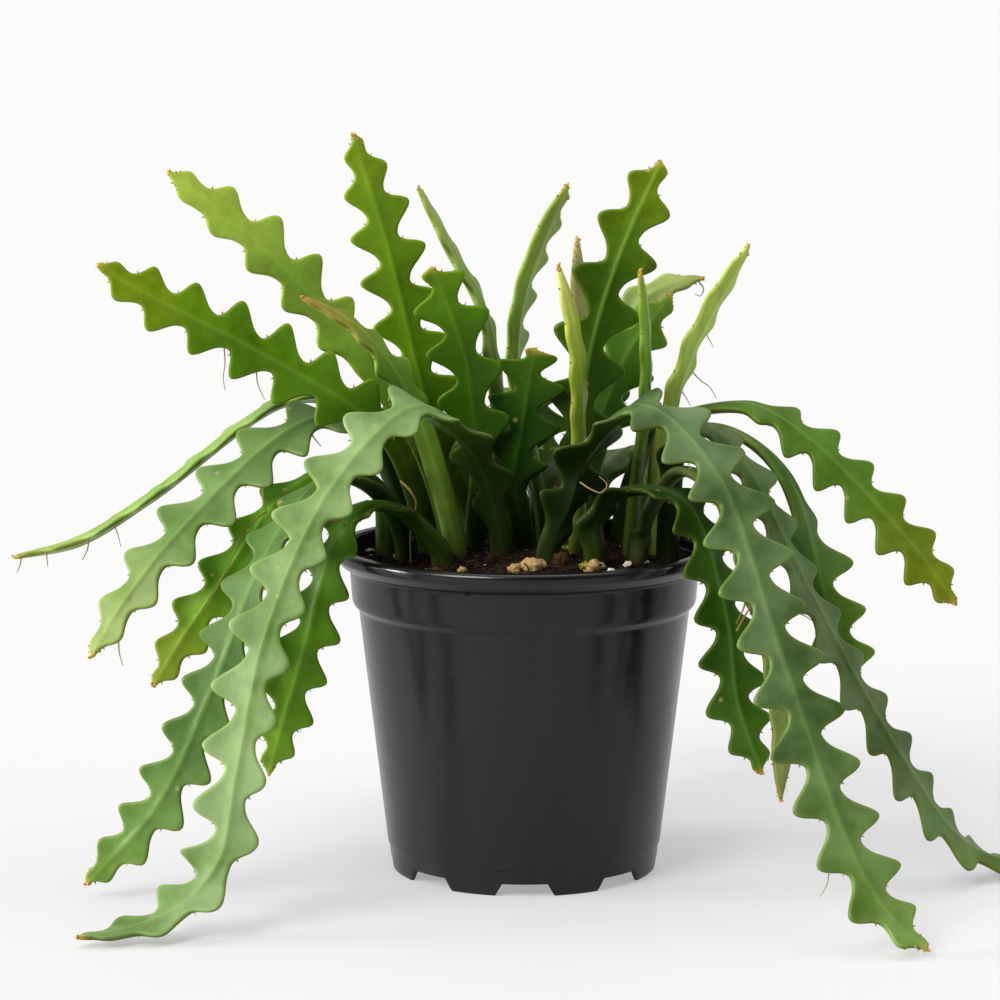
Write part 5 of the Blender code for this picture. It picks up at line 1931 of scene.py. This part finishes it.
class Plant:
    """All the stems with their areoles and aerial roots."""

    WINGS = {Slot.GROWN: 0.85, Slot.YOUNG: 0.85, Slot.DRIED: 0.65}
    FOLDS = (0.02, 0.06, -0.03, 0.09)
    ROOT_END = 0.6

    def __init__(self) -> None:
        """Builds the skins and the sweep that the stems share."""
        self.sweep = BladeSweep()
        self.skins = {
            Slot.GROWN: GROWN_SKIN.material(),
            Slot.YOUNG: YOUNG_SKIN.material(),
            Slot.DRIED: DRIED_SKIN.material(),
        }

    def slot_of(self, stem: Stem) -> Slot:
        """The slot that a stem of this age has."""
        if stem.name in DRIED_STEMS:
            return Slot.DRIED
        return Slot.YOUNG if stem.name in YOUNG_STEMS else Slot.GROWN

    def build(self, threads: StrandSweep) -> None:
        """Sweeps each stem, then adds what grows on them.

        Args:
            threads: Geometry nodes for strands.
        """
        for seed, stem in enumerate(STEMS, 1):
            slot = self.slot_of(stem)
            tone = TONES.get(stem.name, Tone())
            bends = {"wing": self.WINGS[slot], "fold": self.FOLDS[seed % len(self.FOLDS)]}
            LeafyStem(stem, tone, slot, seed, **bends).build(self.sweep, self.skins[slot])
        Areoles().build(threads)
        strands = [root.strand() for root in AERIAL_ROOTS]
        for route, radius in FREE_ROOTS:
            curve = catmull_rom(list(route), 1.0)
            strands.append((curve, radius * np.linspace(1.0, self.ROOT_END, len(curve))))
        ride(threads.run("aerial_roots", strands, AERIAL_ROOT.material(), 7))


@dataclass(frozen=True)
class SoftLight:
    """A wide, even light, as a large softbox far away: where it comes from and how it looks."""

    name: str
    comes_from: Point
    spread: float
    strength: float
    shade: str = "ffffff"

    def hang(self) -> None:
        """Adds the light to the scene."""
        lamp = bpy.data.lights.new(self.name, "SUN")
        lamp.angle = math.radians(self.spread)
        lamp.energy = self.strength
        lamp.color = linear(self.shade)[:3]
        holder = bpy.data.objects.new(self.name, lamp)
        holder.location = self.comes_from
        holder.rotation_euler = (-Vector(self.comes_from)).to_track_quat("-Z", "Y").to_euler()
        bpy.context.scene.collection.objects.link(holder)


SOFT_LIGHTS = (
    SoftLight("key_left", (-0.8, -0.9, 1.0), 30.0, 2.2, "fffdf8"),
    SoftLight("edge_left", (-1.1, -0.05, 0.24), 24.0, 3.0),
    SoftLight("edge_right", (1.1, 0.1, 0.45), 30.0, 0.35),
    SoftLight("overhead", (0.1, 0.2, 1.2), 50.0, 0.8),
)


@dataclass
class Studio:
    """Pale seamless floor, soft lights and the camera at the photograph's angle. Sizes in m."""

    floor_size: float = 400.0
    floor_shade: str = "a0a0a0"
    floor_cloud: str = "969694"
    cloud_strength: float = 0.05
    floor_glow: float = 0.335
    glow_shade: str = "fefeff"
    sky_low: str = "444444"
    sky_back: str = "f4f4f4"
    sky_strength: float = 0.50
    sky_limits: tuple[float, float] = (-0.9, 0.7)
    sky_lift: float = 0.9
    camera_place: Point = (-0.0095, -1.337, 0.345)
    camera_tilt: float = 81.52
    focal_length: float = 124.4
    sensor: float = 36.0
    farthest: float = 500.0

    def floor(self) -> None:
        """Lays the studio's lit sweep table, which isn't part of the object."""
        half = self.floor_size / 2 / MM
        corners = [(-half, -half, 0.0), (half, -half, 0.0), (half, half, 0.0), (-half, half, 0.0)]
        mesh = mesh_from("sweep_table", np.array(corners), faces=[(0, 1, 2, 3)])
        material, add, shader, place = new_material("lit_matt_acrylic")
        cloud = add(NOISE, {0: place, 2: 1.5, 3: 2.0})
        share = add(MAP_RANGE, {0: cloud, 3: 0.0, 4: self.cloud_strength})
        finish = {
            "Base Color": paint(add, linear(self.floor_shade), [(share, self.floor_cloud)]),
            "Roughness": 0.6,
            "Specular IOR Level": 0.3,
            "Emission Color": linear(self.glow_shade),
            "Emission Strength": self.floor_glow,
        }
        wire(shader, finish)
        mesh.materials.append(material)
        link_object("sweep_table", mesh)

    def sky(self) -> None:
        """Fills the room with light: dim on the camera's side, bright above and behind."""
        world = bpy.data.worlds.new("studio_room")
        world.use_nodes = True
        add = partial(add_node, world.node_tree)
        toward = add(COORDINATES).outputs["Generated"]
        axes = add("ShaderNodeSeparateXYZ", {0: toward}).outputs
        lifted = add(MATH, {0: axes[2], 1: self.sky_lift}, operation="MULTIPLY")
        behind = add(MATH, {0: axes[1], 1: lifted}, operation="ADD")
        limits = {0: behind, 1: self.sky_limits[0], 2: self.sky_limits[1]}
        share = add(MAP_RANGE, limits, interpolation_type="SMOOTHSTEP")
        glow = paint(add, linear(self.sky_low), [(share, self.sky_back)])
        wire(world.node_tree.nodes["Background"], {0: glow, 1: self.sky_strength})
        bpy.context.scene.world = world

    def build(self) -> None:
        """Lays the floor and hangs the lights, in a pale room."""
        self.floor()
        self.sky()
        for light in SOFT_LIGHTS:
            light.hang()
        bpy.context.scene.view_settings.view_transform = "Standard"
        bpy.context.scene.view_settings.look = "Medium High Contrast"
        self.camera()

    def camera(self) -> None:
        """Sets the camera where the photograph was taken from."""
        lens = bpy.data.cameras.new("camera")
        lens.sensor_width = self.sensor
        lens.lens = self.focal_length
        lens.clip_end = self.farthest
        camera = bpy.data.objects.new("camera", lens)
        camera.location = self.camera_place
        camera.rotation_euler = (math.radians(self.camera_tilt), 0.0, 0.0)
        bpy.context.scene.collection.objects.link(camera)
        bpy.context.scene.camera = camera


def main() -> None:
    """Builds the pot, the potting mix, the plant and the studio, in that order."""
    logging.basicConfig(level=logging.INFO, format="%(message)s")
    threads = StrandSweep()
    mix = PottingMix()
    NurseryPot().build()
    mix.build(CrumbScatter(), threads)
    for stone in STONES:
        stone.build(mix)
    Plant().build(threads)
    Studio().build()


if __name__ == "__main__":
    main()
